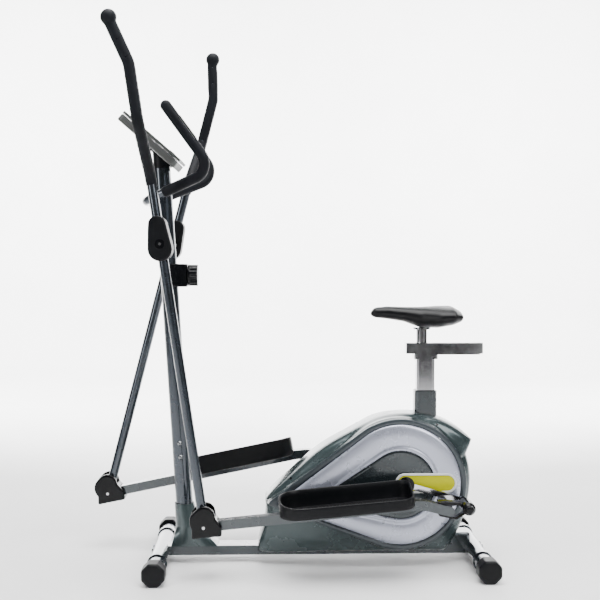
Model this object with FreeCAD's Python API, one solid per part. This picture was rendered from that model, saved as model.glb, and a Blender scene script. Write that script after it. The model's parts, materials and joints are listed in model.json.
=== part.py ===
import FreeCAD, Part
import math
import os

# Elliptical trainer with a fixed seat.  Millimetres.  +X points forward, from the seat to the
# console, +Y to the rider's left, +Z up.  The origin lies on the floor under the middle of the
# machine.  It stands as it was left: left pedal to the rear, right pedal to the front.

V = FreeCAD.Vector
ORIGIN = V(0, 0, 0)
FORE = V(1, 0, 0)
SIDE = V(0, 1, 0)
UP = V(0, 0, 1)
LEFT = 1
RIGHT = -1

# ---- clearances shared by everything that fits or moves ----
RUN_FIT = 0.05        # radial, shaft in a bush
SLIDE_GAP = 0.4       # between sliding sections, each side
MOVE_GAP = 0.8        # between pieces that pass each other
FIT_GAP = 0.05        # bolt in its hole, head on a round tube
REACH = 500.0         # longer than any wall that a cutting tool goes through

# ---- base: stabilizers, rail ----
FRONT_X = 374.5       # front stabilizer axis
REAR_X = -562.3       # rear stabilizer axis
FOOT_RADIUS = 33.0    # flat-to-centre of the eight-sided end caps
STABILIZER_RADIUS = 25.0
STABILIZER_HALF = 240.0
CAP_END = STABILIZER_HALF + 35.0   # outer face of the end caps from the middle plane
CAP_OVERLAP = 20.0    # how far a cap sleeves over its tube
RING_Y = 150.0
RING_RADIUS = 29.0
RING_WIDTH = 14.0
TUBE_WALL = 2.0
RAIL_LOW = 22.0
RAIL_HIGH = 50.0
RAIL_HALF = 30.0
RAIL_WALL = 2.5
BRACKET_TOP = 84.0    # rear bracket between the rail and the stabilizer
BRACKET_HALF = 34.0
BOLT_SPACING = 36.0   # the two bolts that hold each stabilizer
BOLT_RADIUS = 4.0
DOME_RADIUS = 8.0      # bolt heads on the stabilizers
DOME_HEIGHT = 3.0

# ---- mast ----
PIVOT_X = 355.7       # axis that both hand levers swing on
PIVOT_Z = 947.0
MAST_LEAN = 3.55      # degrees forward of upright
MAST_RADIUS = 25.0
SOCKET_SEAM_Z = 300.0
SOCKET_INSERT = 85.0  # inner sleeve standing up into the mast
MAST_TOP_Z = PIVOT_Z + 225.0
MAST_BOLT_HEIGHTS = (316.0, 357.0)
COVER_TOP_Z = 174.0
COVER_BACK_X = 206.0
COVER_FRONT_X = 345.0
COVER_HALF = 40.0
COVER_WALL = 2.5

# ---- crank and linkage ----
CRANK_X = -345.0
CRANK_Z = 248.0
CRANK_RADIUS = 172.0
CRANK_DROP = 16.1     # degrees that the left crank points below level, rearward
LEVER_LENGTH = PIVOT_Z - 142.0   # lever pivot to lower joint, which stays above the floor
ARM_LENGTH = 750.0    # lower joint to crank pin
LINK_Y = 180.0        # middle plane of each lever and pedal arm
LEVER_RADIUS = 14.0
AXLE_RADIUS = 10.0
CRANK_ARM_IN = 106.0  # inner and outer faces of the crank arms
CRANK_ARM_OUT = 118.0
CRANK_BOSS_OUT = 121.0  # outer face of the boss at the crank's end and of the hub cap
CRANK_ARM_HALF = 8.5
HUB_CAP_RADIUS = 24.0
PIN_RADIUS = 9.0

# ---- hand levers, in the lever's own plane from its pivot ----
PIVOT_AXLE_RADIUS = 9.0
HUB_RADIUS = 18.0
HUB_HALF = 24.0
BUSH_WALL = 4.0
FLARE_START = 190.0   # where the lever turns outward
FLARE_END = 332.0     # where it runs straight up again
HANDLE_Y = 300.0
KNEE_HEIGHT = 487.0   # where the handle bends forward
HANDLE_TOP = 612.0
HANDLE_REACH = 36.0   # forward reach of the ball end
BALL_Y = 306.5
BALL_RADIUS = 22.0
GRIP_RADIUS = 16.5
GRIP_START = 165.0
LEVER_BEND = 60.0
EAR_THICK = 4.0
EAR_GAP = 44.0        # between the two ears at the lever's foot
JOINT_PIN_RADIUS = 6.0

# ---- pedal arms and pedals, along the arm from its front joint ----
ARM_HALF_HEIGHT = 14.0
ARM_HALF_WIDTH = 15.0
ARM_START = 8.0       # front end of the tube, behind the joint
ARM_START_DROP = -2.0
ARM_PEAK = 600.0      # where the arm turns down behind the pedal
ARM_PEAK_RISE = 14.0
ARM_TAIL = 700.0
ARM_TAIL_DROP = -10.0
PEDAL_FRONT = 208.0
PEDAL_LENGTH = 382.0
PEDAL_INNER_Y = 125.0
PEDAL_WIDTH = 138.0
PEDAL_FLOOR = 8.0
PEDAL_WALL = 5.0
PEDAL_CORNER = 34.0
PEDAL_INNER_HEIGHT = 52.0
PEDAL_OUTER_HEIGHT = 30.0
PEDAL_HEEL_LOSS = 12.0
BARREL_RADIUS = 19.0
BARREL_IN = 152.0
BARREL_OUT = 224.0

# ---- housing ----
SHELL_WALL = 3.0
HOUSING_NOSE = 88.0
HOUSING_TAIL = -550.0
HOUSING_TOP = 446.0
CORE_HALF = 68.0      # half width of the body of the housing
BULGE_HALF = 90.0     # half width of the round side
BULGE_X = -333.0      # centre of the round side
BULGE_Z = 243.0
BULGE_RADIUS = 194.0
PANEL_RADIUS = 177.0
DROP_RADIUS = 101.0
PANEL_THICK = 5.0
DROP_THICK = 3.0
TRIM_RADIUS = 29.0
TRIM_LENGTH = 123.0
TRIM_THICK = 4.0
SCREW_RADIUS = 4.0

# ---- drive ----
BELT_Y = -46.0        # middle plane of the belt
BELT_HALF = 6.0
BELT_THICK = 3.0
PULLEY_RADIUS = 122.0
FLYWHEEL_X = -108.0
FLYWHEEL_Z = 180.0
FLYWHEEL_RADIUS = 104.0
FLYWHEEL_THICK = 20.0
FLYWHEEL_Y = -12.0    # middle plane of the flywheel
FLYWHEEL_PULLEY = 18.0
IDLER_RADIUS = 17.0
MAGNET_GAP = 2.5
MAGNET_THICK = 6.0

# ---- seat ----
SEAT_X = -415.0       # axis of the seat post
POST_LONG = 55.0
POST_WIDE = 45.0
POST_CORNER = 9.0
BUSHING_WALL = 3.0
BUSHING_LENGTH = 120.0
SLEEVE_WALL = 3.0
SLEEVE_TOP = 510.0
POST_TOP = 606.0
POST_LENGTH = 350.0
POST_HOLE_PITCH = 25.0
SEAT_PLATE_THICK = 13.0
CHANNEL_FRONT = -381.0
CHANNEL_LENGTH = 196.0
CHANNEL_HALF = 25.0
CHANNEL_HEIGHT = 22.0
CARRIAGE_FRONT = -356.0
CARRIAGE_LENGTH = 230.0
CARRIAGE_TOP = 654.0
STEM_X = -405.0
STEM_RADIUS = 16.0
STEM_TOP = 694.0

# handlebar, each point given from the middle plane out and above the mast's top
HANDLEBAR_TIP = V(344, 140, MAST_TOP_Z + 166)
HANDLEBAR_ELBOW = V(212, 140, MAST_TOP_Z - 15)
HANDLEBAR_FRONT = V(412, 62, MAST_TOP_Z - 99)
HANDLEBAR_RADIUS = 12.5
HANDLEBAR_BEND = 46.0
FOAM_RADIUS = 16.0

# console and tension knob
CONSOLE_SLOPE = 41.0
CONSOLE_LENGTH = 214.0
CONSOLE_THICK = 32.0
CONSOLE_HALF = 100.0
CONSOLE_FOOT = V(306, 0, MAST_TOP_Z + 18)   # rear lower edge of the display face
SCREEN_LENGTH = 76.0
SCREEN_HALF = 46.0
BUTTON_RADIUS = 9.0
BUTTON_PITCH = 24.0   # each button from the middle
BUTTON_UP = 42.0      # from the console's lower edge to the row of buttons
KNOB_Z = PIVOT_Z - 91.0
KNOB_RADIUS = 32.0
KNOB_THICK = 29.0
KNOB_NECK = 31.0      # how far the collar stands behind the mast


# ---------------------------------------------------------------- shapes
def rod(start, end, radius):
    span = end - start
    return Part.makeCylinder(radius, span.Length, start, span)


def cross_rod(x, z, y_from, y_to, radius):
    return rod(V(x, y_from, z), V(x, y_to, z), radius)


def ring(x, z, y_from, y_to, radius, bore):
    return cross_rod(x, z, y_from, y_to, radius).cut(cross_rod(x, z, y_from, y_to, bore))


def block(x, y, z):
    """A box from three (low, high) pairs."""
    return Part.makeBox(x[1] - x[0], y[1] - y[0], z[1] - z[0], V(x[0], y[0], z[0]))


def bar(x, y, z, corner):
    """A box with its four upright edges rounded."""
    solid = block(x, y, z)
    upright = [e for e in solid.Edges if abs(e.tangentAt(e.FirstParameter).z) > 0.9]
    return solid.makeFillet(corner, upright)


def plate(outline, y_from, y_to):
    """A flat outline in the middle plane, given thickness across the machine."""
    face = Part.Face(outline)
    face.translate(V(0, y_from, 0))
    return face.extrude(V(0, y_to - y_from, 0))


def curve(points):
    spline = Part.BSplineCurve()
    spline.interpolate([V(x, 0, z) for x, z in points])
    return spline.toShape()


def loop_outline(big, big_radius, small, small_radius):
    """Two round ends joined by their common tangents, in the middle plane."""
    span = small - big
    heading = math.atan2(span.z, span.x)
    lean = math.acos((big_radius - small_radius) / span.Length)

    def at(centre, radius, angle):
        return centre + V(radius * math.cos(angle), 0, radius * math.sin(angle))

    top = heading + lean
    low = heading - lean
    far = Part.Arc(at(big, big_radius, top), at(big, big_radius, heading + math.pi),
                   at(big, big_radius, low)).toShape()
    near = Part.Arc(at(small, small_radius, low), at(small, small_radius, heading),
                    at(small, small_radius, top)).toShape()
    under = Part.LineSegment(at(big, big_radius, low), at(small, small_radius, low)).toShape()
    over = Part.LineSegment(at(small, small_radius, top), at(big, big_radius, top)).toShape()
    return Part.Wire([far, under, near, over])


def bent_path(points, radius):
    """Straight runs joined by tangent arcs."""
    edges = []
    start = points[0]
    for before, corner, after in zip(points, points[1:], points[2:]):
        back = (before - corner).normalize()
        ahead = (after - corner).normalize()
        half = back.getAngle(ahead) / 2
        reach = radius / math.tan(half)
        middle = (back + ahead).normalize() * (radius / math.sin(half) - radius)
        edges.append(Part.LineSegment(start, corner + back * reach).toShape())
        edges.append(Part.Arc(corner + back * reach, corner + middle, corner + ahead * reach).toShape())
        start = corner + ahead * reach
    edges.append(Part.LineSegment(start, points[-1]).toShape())
    return Part.Wire(edges)


def round_sweep(path, radius):
    first = path.Edges[0]
    start = first.valueAt(first.FirstParameter)
    heading = first.tangentAt(first.FirstParameter)
    circle = Part.Wire(Part.makeCircle(radius, start, heading))
    return path.makePipeShell([circle], True, False)


def bent_tube(path, radius, wall):
    return round_sweep(path, radius).cut(round_sweep(path, radius - wall))


def mirrored(shape):
    return shape.mirror(ORIGIN, SIDE)


def group(shapes):
    return Part.makeCompound(shapes)


def hex_nut(centre, axis, across, height):
    """A nut with its base at centre, standing along axis."""
    points = []
    for i in range(7):
        angle = math.radians(60 * i)
        points.append(V(across / math.sqrt(3) * math.cos(angle), across / math.sqrt(3) * math.sin(angle), 0))
    nut = Part.Face(Part.makePolygon(points)).extrude(V(0, 0, height))
    nut.Placement = FreeCAD.Placement(centre, FreeCAD.Rotation(UP, axis))
    return nut


# ---------------------------------------------------------------- where the linkage stands
def crank_pin(side):
    angle = math.radians(CRANK_DROP)
    throw = V(-CRANK_RADIUS * math.cos(angle), 0, -CRANK_RADIUS * math.sin(angle))
    return V(CRANK_X, 0, CRANK_Z) + throw * side


def lower_joint(side):
    """Where the lever's circle about its pivot meets the arm's circle about the crank pin."""
    pivot = V(PIVOT_X, 0, PIVOT_Z)
    span = pivot - crank_pin(side)
    along = (span.Length ** 2 + ARM_LENGTH ** 2 - LEVER_LENGTH ** 2) / (2 * span.Length)
    off = math.sqrt(ARM_LENGTH ** 2 - along ** 2)
    direction = span.normalize()
    return crank_pin(side) + direction * along + V(direction.z, 0, -direction.x) * off


def lever_angle(side):
    """Degrees that a lever's top leans forward."""
    drop = V(PIVOT_X, 0, PIVOT_Z) - lower_joint(side)
    return math.degrees(math.atan2(drop.x, drop.z))


def arm_angle(side):
    """Degrees that a pedal arm rises toward the rear."""
    run = crank_pin(side) - lower_joint(side)
    return math.degrees(math.atan2(run.z, -run.x))


def place(shape, side, at, angle):
    """Moves a left-hand shape from its own plane to its place, mirrored for the right."""
    if side == RIGHT:
        shape = mirrored(shape)
    shape = shape.copy()
    shape.rotate(ORIGIN, SIDE, angle)
    shape.translate(at)
    return shape


def on_lever(shape, side):
    return place(shape, side, V(PIVOT_X, 0, PIVOT_Z), lever_angle(side))


def on_arm(shape, side):
    return place(shape, side, lower_joint(side), arm_angle(side))


def mast_x(z):
    return PIVOT_X + (z - PIVOT_Z) * math.tan(math.radians(MAST_LEAN))


def mast_point(z):
    return V(mast_x(z), 0, z)


# ---------------------------------------------------------------- base
def octagon_cap(x, side):
    corner = FOOT_RADIUS / math.cos(math.radians(22.5))
    points = []
    for i in range(9):
        angle = math.radians(22.5 + 45 * i)
        points.append(V(x + corner * math.cos(angle), 0, FOOT_RADIUS + corner * math.sin(angle)))
    inner_end = STABILIZER_HALF - CAP_OVERLAP
    body = plate(Part.makePolygon(points), inner_end, CAP_END)
    rim = [e for e in body.Edges if e.CenterOfMass.y > CAP_END - 1]
    body = body.makeChamfer(5, rim)
    body = body.cut(cross_rod(x, FOOT_RADIUS, inner_end, STABILIZER_HALF, STABILIZER_RADIUS))
    return body if side == LEFT else mirrored(body)


def end_caps():
    return group([octagon_cap(x, side) for x in (FRONT_X, REAR_X) for side in (LEFT, RIGHT)])


def stabilizer(x):
    """Cross tube with a raised collar toward each end."""
    tube = cross_rod(x, FOOT_RADIUS, -STABILIZER_HALF, STABILIZER_HALF, STABILIZER_RADIUS)
    for side in (LEFT, RIGHT):
        y = side * RING_Y
        tube = tube.fuse(cross_rod(x, FOOT_RADIUS, y - RING_WIDTH / 2, y + RING_WIDTH / 2, RING_RADIUS))
    tube = tube.cut(cross_rod(x, FOOT_RADIUS, -REACH, REACH, STABILIZER_RADIUS - TUBE_WALL))
    for y in (-BOLT_SPACING / 2, BOLT_SPACING / 2):
        tube = tube.cut(rod(V(x - REACH, y, FOOT_RADIUS + 3), V(x + REACH, y, FOOT_RADIUS + 3), BOLT_RADIUS))
    return tube


def stabilizer_bite(x):
    return cross_rod(x, FOOT_RADIUS, -REACH, REACH, STABILIZER_RADIUS)


def base_rail():
    ends = (REAR_X, FRONT_X)
    rail = block(ends, (-RAIL_HALF, RAIL_HALF), (RAIL_LOW, RAIL_HIGH))
    hollow = block(ends, (-RAIL_HALF + RAIL_WALL, RAIL_HALF - RAIL_WALL),
                   (RAIL_LOW + RAIL_WALL, RAIL_HIGH - RAIL_WALL))
    rail = rail.cut(hollow)
    for x, inward in ((FRONT_X, -1), (REAR_X, 1)):
        near = x + inward * STABILIZER_RADIUS
        saddle = block(sorted((x, near + inward * 6)), (-RAIL_HALF, RAIL_HALF), (RAIL_LOW, RAIL_HIGH))
        rail = rail.fuse(saddle)
        rail = rail.cut(stabilizer_bite(x))
        for y in (-BOLT_SPACING / 2, BOLT_SPACING / 2):
            shank = rod(V(x, y, FOOT_RADIUS + 3), V(near + inward * 8, y, FOOT_RADIUS + 3), BOLT_RADIUS)
            rail = rail.cut(shank)
    front_half = block((0, FRONT_X - 8), (-REACH, REACH), (0, REACH))
    back_half = block((REAR_X + 8, 0), (-REACH, REACH), (0, REACH))
    return rail.common(front_half.fuse(back_half))


def rear_bracket():
    """Rounded boss that ties the rail to the rear stabilizer."""
    front = REAR_X + 78
    body = bar((REAR_X + 12, front), (-BRACKET_HALF, BRACKET_HALF), (RAIL_HIGH, BRACKET_TOP), 12)
    top = [e for e in body.Edges if e.CenterOfMass.z > BRACKET_TOP - 0.1]
    return body.makeFillet(8, top).cut(stabilizer_bite(REAR_X))


def frame_bolts():
    """Carriage bolts of both stabilizers with their cap nuts, and the cross bolts of the mast."""
    bolts = []
    for x, outward in ((FRONT_X, 1), (REAR_X, -1)):
        z = FOOT_RADIUS + 3
        for y in (-BOLT_SPACING / 2, BOLT_SPACING / 2):
            inner = x - outward * (STABILIZER_RADIUS + 5)
            skin = x + outward * STABILIZER_RADIUS
            shank = rod(V(inner, y, z), V(skin, y, z), BOLT_RADIUS - FIT_GAP)
            dome = rod(V(x, y, z), V(skin + outward * DOME_HEIGHT, y, z), DOME_RADIUS)
            dome = dome.cut(cross_rod(x, FOOT_RADIUS, y - 12, y + 12, STABILIZER_RADIUS + FIT_GAP))
            dome = dome.fuse(rod(V(x + outward * STABILIZER_RADIUS, y, z),
                                 V(skin + outward * DOME_HEIGHT + 1.5, y, z), DOME_RADIUS - 2.5))
            bolts.append(shank.fuse(dome))
    for z in MAST_BOLT_HEIGHTS:
        x = mast_x(z)
        shank = cross_rod(x, z, -MAST_RADIUS - 1, MAST_RADIUS + 1, BOLT_RADIUS)
        for side in (LEFT, RIGHT):
            head = Part.makeSphere(8, V(x, side * (MAST_RADIUS - 1), z))
            shank = shank.fuse(head.cut(rod(mast_point(z - 20), mast_point(z + 20), MAST_RADIUS)))
        bolts.append(shank)
    return group(bolts)


# ---------------------------------------------------------------- mast
def mast_bolt_holes(shape):
    for z in MAST_BOLT_HEIGHTS:
        shape = shape.cut(cross_rod(mast_x(z), z, -REACH, REACH, BOLT_RADIUS))
    return shape


def mast_socket():
    low = mast_point(RAIL_HIGH - 5)
    seam = mast_point(SOCKET_SEAM_Z)
    top = mast_point(SOCKET_SEAM_Z + SOCKET_INSERT)
    bore = MAST_RADIUS - TUBE_WALL
    stub = rod(low, seam, MAST_RADIUS).fuse(rod(low, top, bore))
    stub = stub.cut(rod(low, top, bore - TUBE_WALL))
    stub = stub.cut(block((0, REACH), (-REACH, REACH), (0, RAIL_HIGH)))
    return mast_bolt_holes(stub)


def mast():
    low = mast_point(SOCKET_SEAM_Z)
    top = mast_point(MAST_TOP_Z)
    tube = rod(low, top, MAST_RADIUS).cut(rod(low, top, MAST_RADIUS - TUBE_WALL))
    tube = mast_bolt_holes(tube)
    return tube.cut(pivot_rod())


def pivot_rod():
    half = LINK_Y + HUB_HALF + 6
    return cross_rod(PIVOT_X, PIVOT_Z, -half, half, PIVOT_AXLE_RADIUS)


def pivot_axle():
    """Through axle, two spacer tubes against the mast, and a nut at each end."""
    axle = pivot_rod()
    inner = LINK_Y - HUB_HALF - MOVE_GAP
    outer = LINK_Y + HUB_HALF + MOVE_GAP
    for side in (LEFT, RIGHT):
        spacer = rod(V(PIVOT_X, 0, PIVOT_Z), V(PIVOT_X, side * inner, PIVOT_Z), PIVOT_AXLE_RADIUS + 5)
        spacer = spacer.cut(rod(mast_point(PIVOT_Z - 60), mast_point(PIVOT_Z + 60), MAST_RADIUS))
        washer = rod(V(PIVOT_X, side * outer, PIVOT_Z), V(PIVOT_X, side * (outer + 2), PIVOT_Z), 14)
        nut = hex_nut(V(PIVOT_X, side * (outer + 2), PIVOT_Z), V(0, side, 0), 20, 6)
        axle = axle.fuse([spacer, washer, nut])
    return axle


def mast_cover():
    """Moulded trumpet around the foot of the mast."""
    def skin(grow, low, high):
        foot = Part.makePolygon([V(x, y, low) for x, y in (
            (COVER_BACK_X - grow, -COVER_HALF - grow), (COVER_FRONT_X + grow, -COVER_HALF - grow),
            (COVER_FRONT_X + grow, COVER_HALF + grow), (COVER_BACK_X - grow, COVER_HALF + grow),
            (COVER_BACK_X - grow, -COVER_HALF - grow))])
        waist_z = low + (high - low) * 0.45
        waist = Part.Wire(Part.makeCircle(MAST_RADIUS + 14 + grow, mast_point(waist_z) - V(9, 0, 0), UP))
        neck = Part.Wire(Part.makeCircle(MAST_RADIUS + 4 + grow, mast_point(high), UP))
        lower = Part.makeLoft([foot, waist], True, True)
        return lower.fuse(Part.makeLoft([waist, neck], True, True))

    low = RAIL_HIGH + 1
    shell = skin(0, low, COVER_TOP_Z).cut(skin(-COVER_WALL, low, COVER_TOP_Z))
    return shell.cut(stabilizer_bite(FRONT_X))


# ---------------------------------------------------------------- housing
def silhouette(inset=0.0):
    """Side view of the housing: nose, long back rising to the seat, cut-off tail."""
    foot_z = RAIL_HIGH - 16
    middle = V((HOUSING_NOSE + HOUSING_TAIL) / 2, 0, (foot_z + HOUSING_TOP) / 2)

    def inward(points):
        """Draws points toward the middle, so that the far ones move by the inset."""
        near_x = 1 - inset / (HOUSING_NOSE - middle.x)
        near_z = 1 - inset / (HOUSING_TOP - middle.z)
        return [(middle.x + (x - middle.x) * near_x, middle.z + (z - middle.z) * near_z) for x, z in points]

    def straight(points):
        (x0, z0), (x1, z1) = inward(points)
        return Part.LineSegment(V(x0, 0, z0), V(x1, 0, z1)).toShape()

    nose = curve(inward([(HOUSING_NOSE, foot_z), (83, 74), (66, 140), (66, 192)]))
    back = curve(inward([(66, 192), (48, 213), (-12, 269), (-104, 347), (-196, 399), (-288, 439),
                         (-345, HOUSING_TOP), (-400, 443), (-456, 430), (-505, 406), (HOUSING_TAIL, 368)]))
    tail = straight([(HOUSING_TAIL, 368), (-533, 326)])
    rump = curve(inward([(-533, 326), (-546, 255), (-538, 180), (-512, 100), (-470, foot_z)]))
    floor = straight([(-470, foot_z), (HOUSING_NOSE, foot_z)])
    return Part.Wire([nose, back, tail, rump, floor])


def bulge(radius, tip_back, tip_radius):
    """Teardrop of the round side, its point toward the nose."""
    tip = V(50 - tip_back, 0, 190)
    return loop_outline(V(BULGE_X, 0, BULGE_Z), radius, tip, tip_radius)


def border_outline():
    return bulge(BULGE_RADIUS, 0, 6)


def panel_outline(gap=0.0):
    return bulge(PANEL_RADIUS - gap, 26, 4 - gap)


def drop_outline(gap=0.0):
    return bulge(DROP_RADIUS - gap, 128, 5 - gap)


def seat_passage():
    gap = 2
    half_x = POST_LONG / 2 + BUSHING_WALL + SLEEVE_WALL + gap
    half_y = POST_WIDE / 2 + BUSHING_WALL + SLEEVE_WALL + gap
    return block((SEAT_X - half_x, SEAT_X + half_x), (-half_y, half_y), (0, SLEEVE_TOP))


def housing(side):
    outside = plate(silhouette(), 0, CORE_HALF)
    outside = outside.fuse(plate(border_outline(), CORE_HALF - 1, BULGE_HALF))
    inside = plate(silhouette(SHELL_WALL + 1.5), -1, CORE_HALF - SHELL_WALL)
    round_room = bulge(BULGE_RADIUS - SHELL_WALL, 10, 3)
    inside = inside.fuse(plate(round_room, 0, BULGE_HALF - SHELL_WALL))
    shell = outside.cut(inside)
    shell = shell.cut(seat_passage())
    shell = shell.cut(block((-2 * REACH, REACH), (-1, RAIL_HALF + 1), (0, RAIL_HIGH + 1)))
    shell = shell.cut(cross_rod(CRANK_X, CRANK_Z, 0, REACH, AXLE_RADIUS + 4))
    shell = shell.cut(block((REAR_X, REAR_X + 78 + 2), (-1, BRACKET_HALF + 2), (0, BRACKET_TOP + 2)))
    return shell if side == LEFT else mirrored(shell)


def side_panels():
    panel = plate(panel_outline(), BULGE_HALF, BULGE_HALF + PANEL_THICK)
    panel = panel.cut(plate(drop_outline(), 0, REACH))
    return group([panel, mirrored(panel)])


def inner_panels():
    panel = plate(drop_outline(0.3), BULGE_HALF, BULGE_HALF + DROP_THICK)
    panel = panel.cut(cross_rod(CRANK_X, CRANK_Z, 0, REACH, AXLE_RADIUS + 4))
    return group([panel, mirrored(panel)])


def crank_trims():
    outline = loop_outline(V(CRANK_X, 0, CRANK_Z), TRIM_RADIUS, V(CRANK_X - TRIM_LENGTH, 0, CRANK_Z),
                           TRIM_RADIUS - 0.5)
    low = BULGE_HALF + PANEL_THICK
    trim = plate(outline, low, low + TRIM_THICK)
    trim = trim.cut(cross_rod(CRANK_X, CRANK_Z, 0, REACH, AXLE_RADIUS + 4))
    return group([trim, mirrored(trim)])


def housing_screws():
    places = ((-6.5, 254), (-212.5, 407), (-442, 412))
    screws = []
    for x, z in places:
        for side in (LEFT, RIGHT):
            y = side * CORE_HALF
            head = rod(V(x, y, z), V(x, y + side * 2.5, z), SCREW_RADIUS)
            screws.append(head)
    return group(screws)


# ---------------------------------------------------------------- drive
def crank_support():
    """Bottom bracket shell on a plate that stands on the rail."""
    shell = ring(CRANK_X, CRANK_Z, -28, 28, 24, 18)
    web = block((CRANK_X - 25, CRANK_X + 25), (-4, 4), (RAIL_HIGH, CRANK_Z))
    foot = block((CRANK_X - 34, CRANK_X + 34), (-24, 24), (RAIL_HIGH, RAIL_HIGH + 5))
    web = web.cut(cross_rod(CRANK_X, CRANK_Z, -28, 28, 21))
    return shell.fuse([web, foot])


def crank_bearings():
    return group([ring(CRANK_X, CRANK_Z, y, y + 8, 18, AXLE_RADIUS + RUN_FIT) for y in (-28, 20)])


def crank_axle():
    half = CRANK_ARM_OUT - 1
    axle = cross_rod(CRANK_X, CRANK_Z, -half, half, AXLE_RADIUS)
    collar = cross_rod(CRANK_X, CRANK_Z, 28 + MOVE_GAP, 33, AXLE_RADIUS + 4)
    return axle.fuse(collar)


def drive_pulley():
    low = BELT_Y - BELT_HALF
    high = BELT_Y + BELT_HALF
    wheel = cross_rod(CRANK_X, CRANK_Z, low, high, PULLEY_RADIUS)
    for y_from, y_to in ((low, BELT_Y - 2), (BELT_Y + 2, high)):
        wheel = wheel.cut(ring(CRANK_X, CRANK_Z, y_from, y_to, PULLEY_RADIUS - 8, 26))
    for i in range(6):
        angle = math.radians(60 * i)
        x = CRANK_X + 70 * math.cos(angle)
        z = CRANK_Z + 70 * math.sin(angle)
        wheel = wheel.cut(cross_rod(x, z, low, high, 20))
    hub = cross_rod(CRANK_X, CRANK_Z, BELT_Y - 14, -28 - MOVE_GAP, 20)
    return wheel.fuse(hub).cut(cross_rod(CRANK_X, CRANK_Z, -REACH, REACH, AXLE_RADIUS))


def crank_arm(side):
    """Flat bar with a boss at each end, between the axle and the pedal arm's pin."""
    pin = crank_pin(side)
    centre = V(CRANK_X, 0, CRANK_Z)
    low = side * CRANK_ARM_IN
    high = side * CRANK_ARM_OUT
    arm = plate(loop_outline(centre, CRANK_ARM_HALF + 0.5, pin, CRANK_ARM_HALF), low, high)
    arm = arm.fuse(cross_rod(CRANK_X, CRANK_Z, low, high, 17))
    arm = arm.fuse(cross_rod(pin.x, pin.z, low, side * CRANK_BOSS_OUT, 13))
    along = (pin - centre).normalize()
    groove = plate(loop_outline(centre + along * 34, 3.1, centre + along * (CRANK_RADIUS - 26), 3),
                   high - side * 2, high)
    arm = arm.cut(groove)
    return arm.cut(cross_rod(CRANK_X, CRANK_Z, low, high, AXLE_RADIUS))


def crank_arms():
    return group([crank_arm(LEFT), crank_arm(RIGHT)])


def hub_caps():
    cap = cross_rod(CRANK_X, CRANK_Z, CRANK_ARM_OUT, CRANK_BOSS_OUT, HUB_CAP_RADIUS)
    return group([cap, mirrored(cap)])


def flywheel():
    low = FLYWHEEL_Y - FLYWHEEL_THICK / 2
    high = FLYWHEEL_Y + FLYWHEEL_THICK / 2
    disc = cross_rod(FLYWHEEL_X, FLYWHEEL_Z, low, high, FLYWHEEL_RADIUS)
    for y_from, y_to in ((low, FLYWHEEL_Y - 3), (FLYWHEEL_Y + 3, high)):
        disc = disc.cut(ring(FLYWHEEL_X, FLYWHEEL_Z, y_from, y_to, FLYWHEEL_RADIUS - 24, 22))
    hub = cross_rod(FLYWHEEL_X, FLYWHEEL_Z, BELT_Y - BELT_HALF, high + 4, FLYWHEEL_PULLEY)
    return disc.fuse(hub).cut(cross_rod(FLYWHEEL_X, FLYWHEEL_Z, -REACH, REACH, 8 + RUN_FIT))


def flywheel_ends():
    """Lowest and highest point of the flywheel's hub across the machine."""
    return BELT_Y - BELT_HALF, FLYWHEEL_Y + FLYWHEEL_THICK / 2 + 4


def flywheel_bracket():
    """Base plate on the rail with an upright on each side of the flywheel."""
    low, high = flywheel_ends()
    wide = (low - MOVE_GAP - 4, high + MOVE_GAP + 4)
    shape = block((FLYWHEEL_X - 22, FLYWHEEL_X + 22), wide, (RAIL_HIGH, RAIL_HIGH + 5))
    for y in ((wide[0], wide[0] + 4), (wide[1] - 4, wide[1])):
        upright = block((FLYWHEEL_X - 22, FLYWHEEL_X + 22), y, (RAIL_HIGH, FLYWHEEL_Z))
        upright = upright.fuse(cross_rod(FLYWHEEL_X, FLYWHEEL_Z, y[0], y[1], 22))
        shape = shape.fuse(upright)
    return shape.cut(cross_rod(FLYWHEEL_X, FLYWHEEL_Z, -REACH, REACH, 8))


def flywheel_axle():
    low, high = flywheel_ends()
    low = low - MOVE_GAP - 4
    high = high + MOVE_GAP + 4
    axle = cross_rod(FLYWHEEL_X, FLYWHEEL_Z, low - 6, high + 6, 8)
    nuts = [hex_nut(V(FLYWHEEL_X, low, FLYWHEEL_Z), V(0, -1, 0), 24, 5),
            hex_nut(V(FLYWHEEL_X, high, FLYWHEEL_Z), V(0, 1, 0), 24, 5)]
    return axle.fuse(nuts)


def belt():
    gap = 0.3
    centre = V(CRANK_X, 0, CRANK_Z)
    small = V(FLYWHEEL_X, 0, FLYWHEEL_Z)
    inner = loop_outline(centre, PULLEY_RADIUS + gap, small, FLYWHEEL_PULLEY + gap)
    outer = loop_outline(centre, PULLEY_RADIUS + gap + BELT_THICK, small, FLYWHEEL_PULLEY + gap + BELT_THICK)
    low = BELT_Y - BELT_HALF + 1
    high = BELT_Y + BELT_HALF - 1
    return plate(outer, low, high).cut(plate(inner, low, high))


def idler_centre():
    """Beside the belt's lower run, a third of the way from the flywheel."""
    centre = V(CRANK_X, 0, CRANK_Z)
    small = V(FLYWHEEL_X, 0, FLYWHEEL_Z)
    span = small - centre
    heading = math.atan2(span.z, span.x)
    lean = math.acos((PULLEY_RADIUS - FLYWHEEL_PULLEY) / span.Length)
    angle = heading - lean
    normal = V(math.cos(angle), 0, math.sin(angle))
    run = V(-normal.z, 0, normal.x)
    start = small + normal * (FLYWHEEL_PULLEY + BELT_THICK + 0.6 + IDLER_RADIUS)
    return start - run * (0.33 * span.Length)


def idler_wheel():
    c = idler_centre()
    wheel = cross_rod(c.x, c.z, BELT_Y - BELT_HALF, BELT_Y + BELT_HALF, IDLER_RADIUS)
    return wheel.cut(cross_rod(c.x, c.z, -REACH, REACH, 5 + RUN_FIT))


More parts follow.
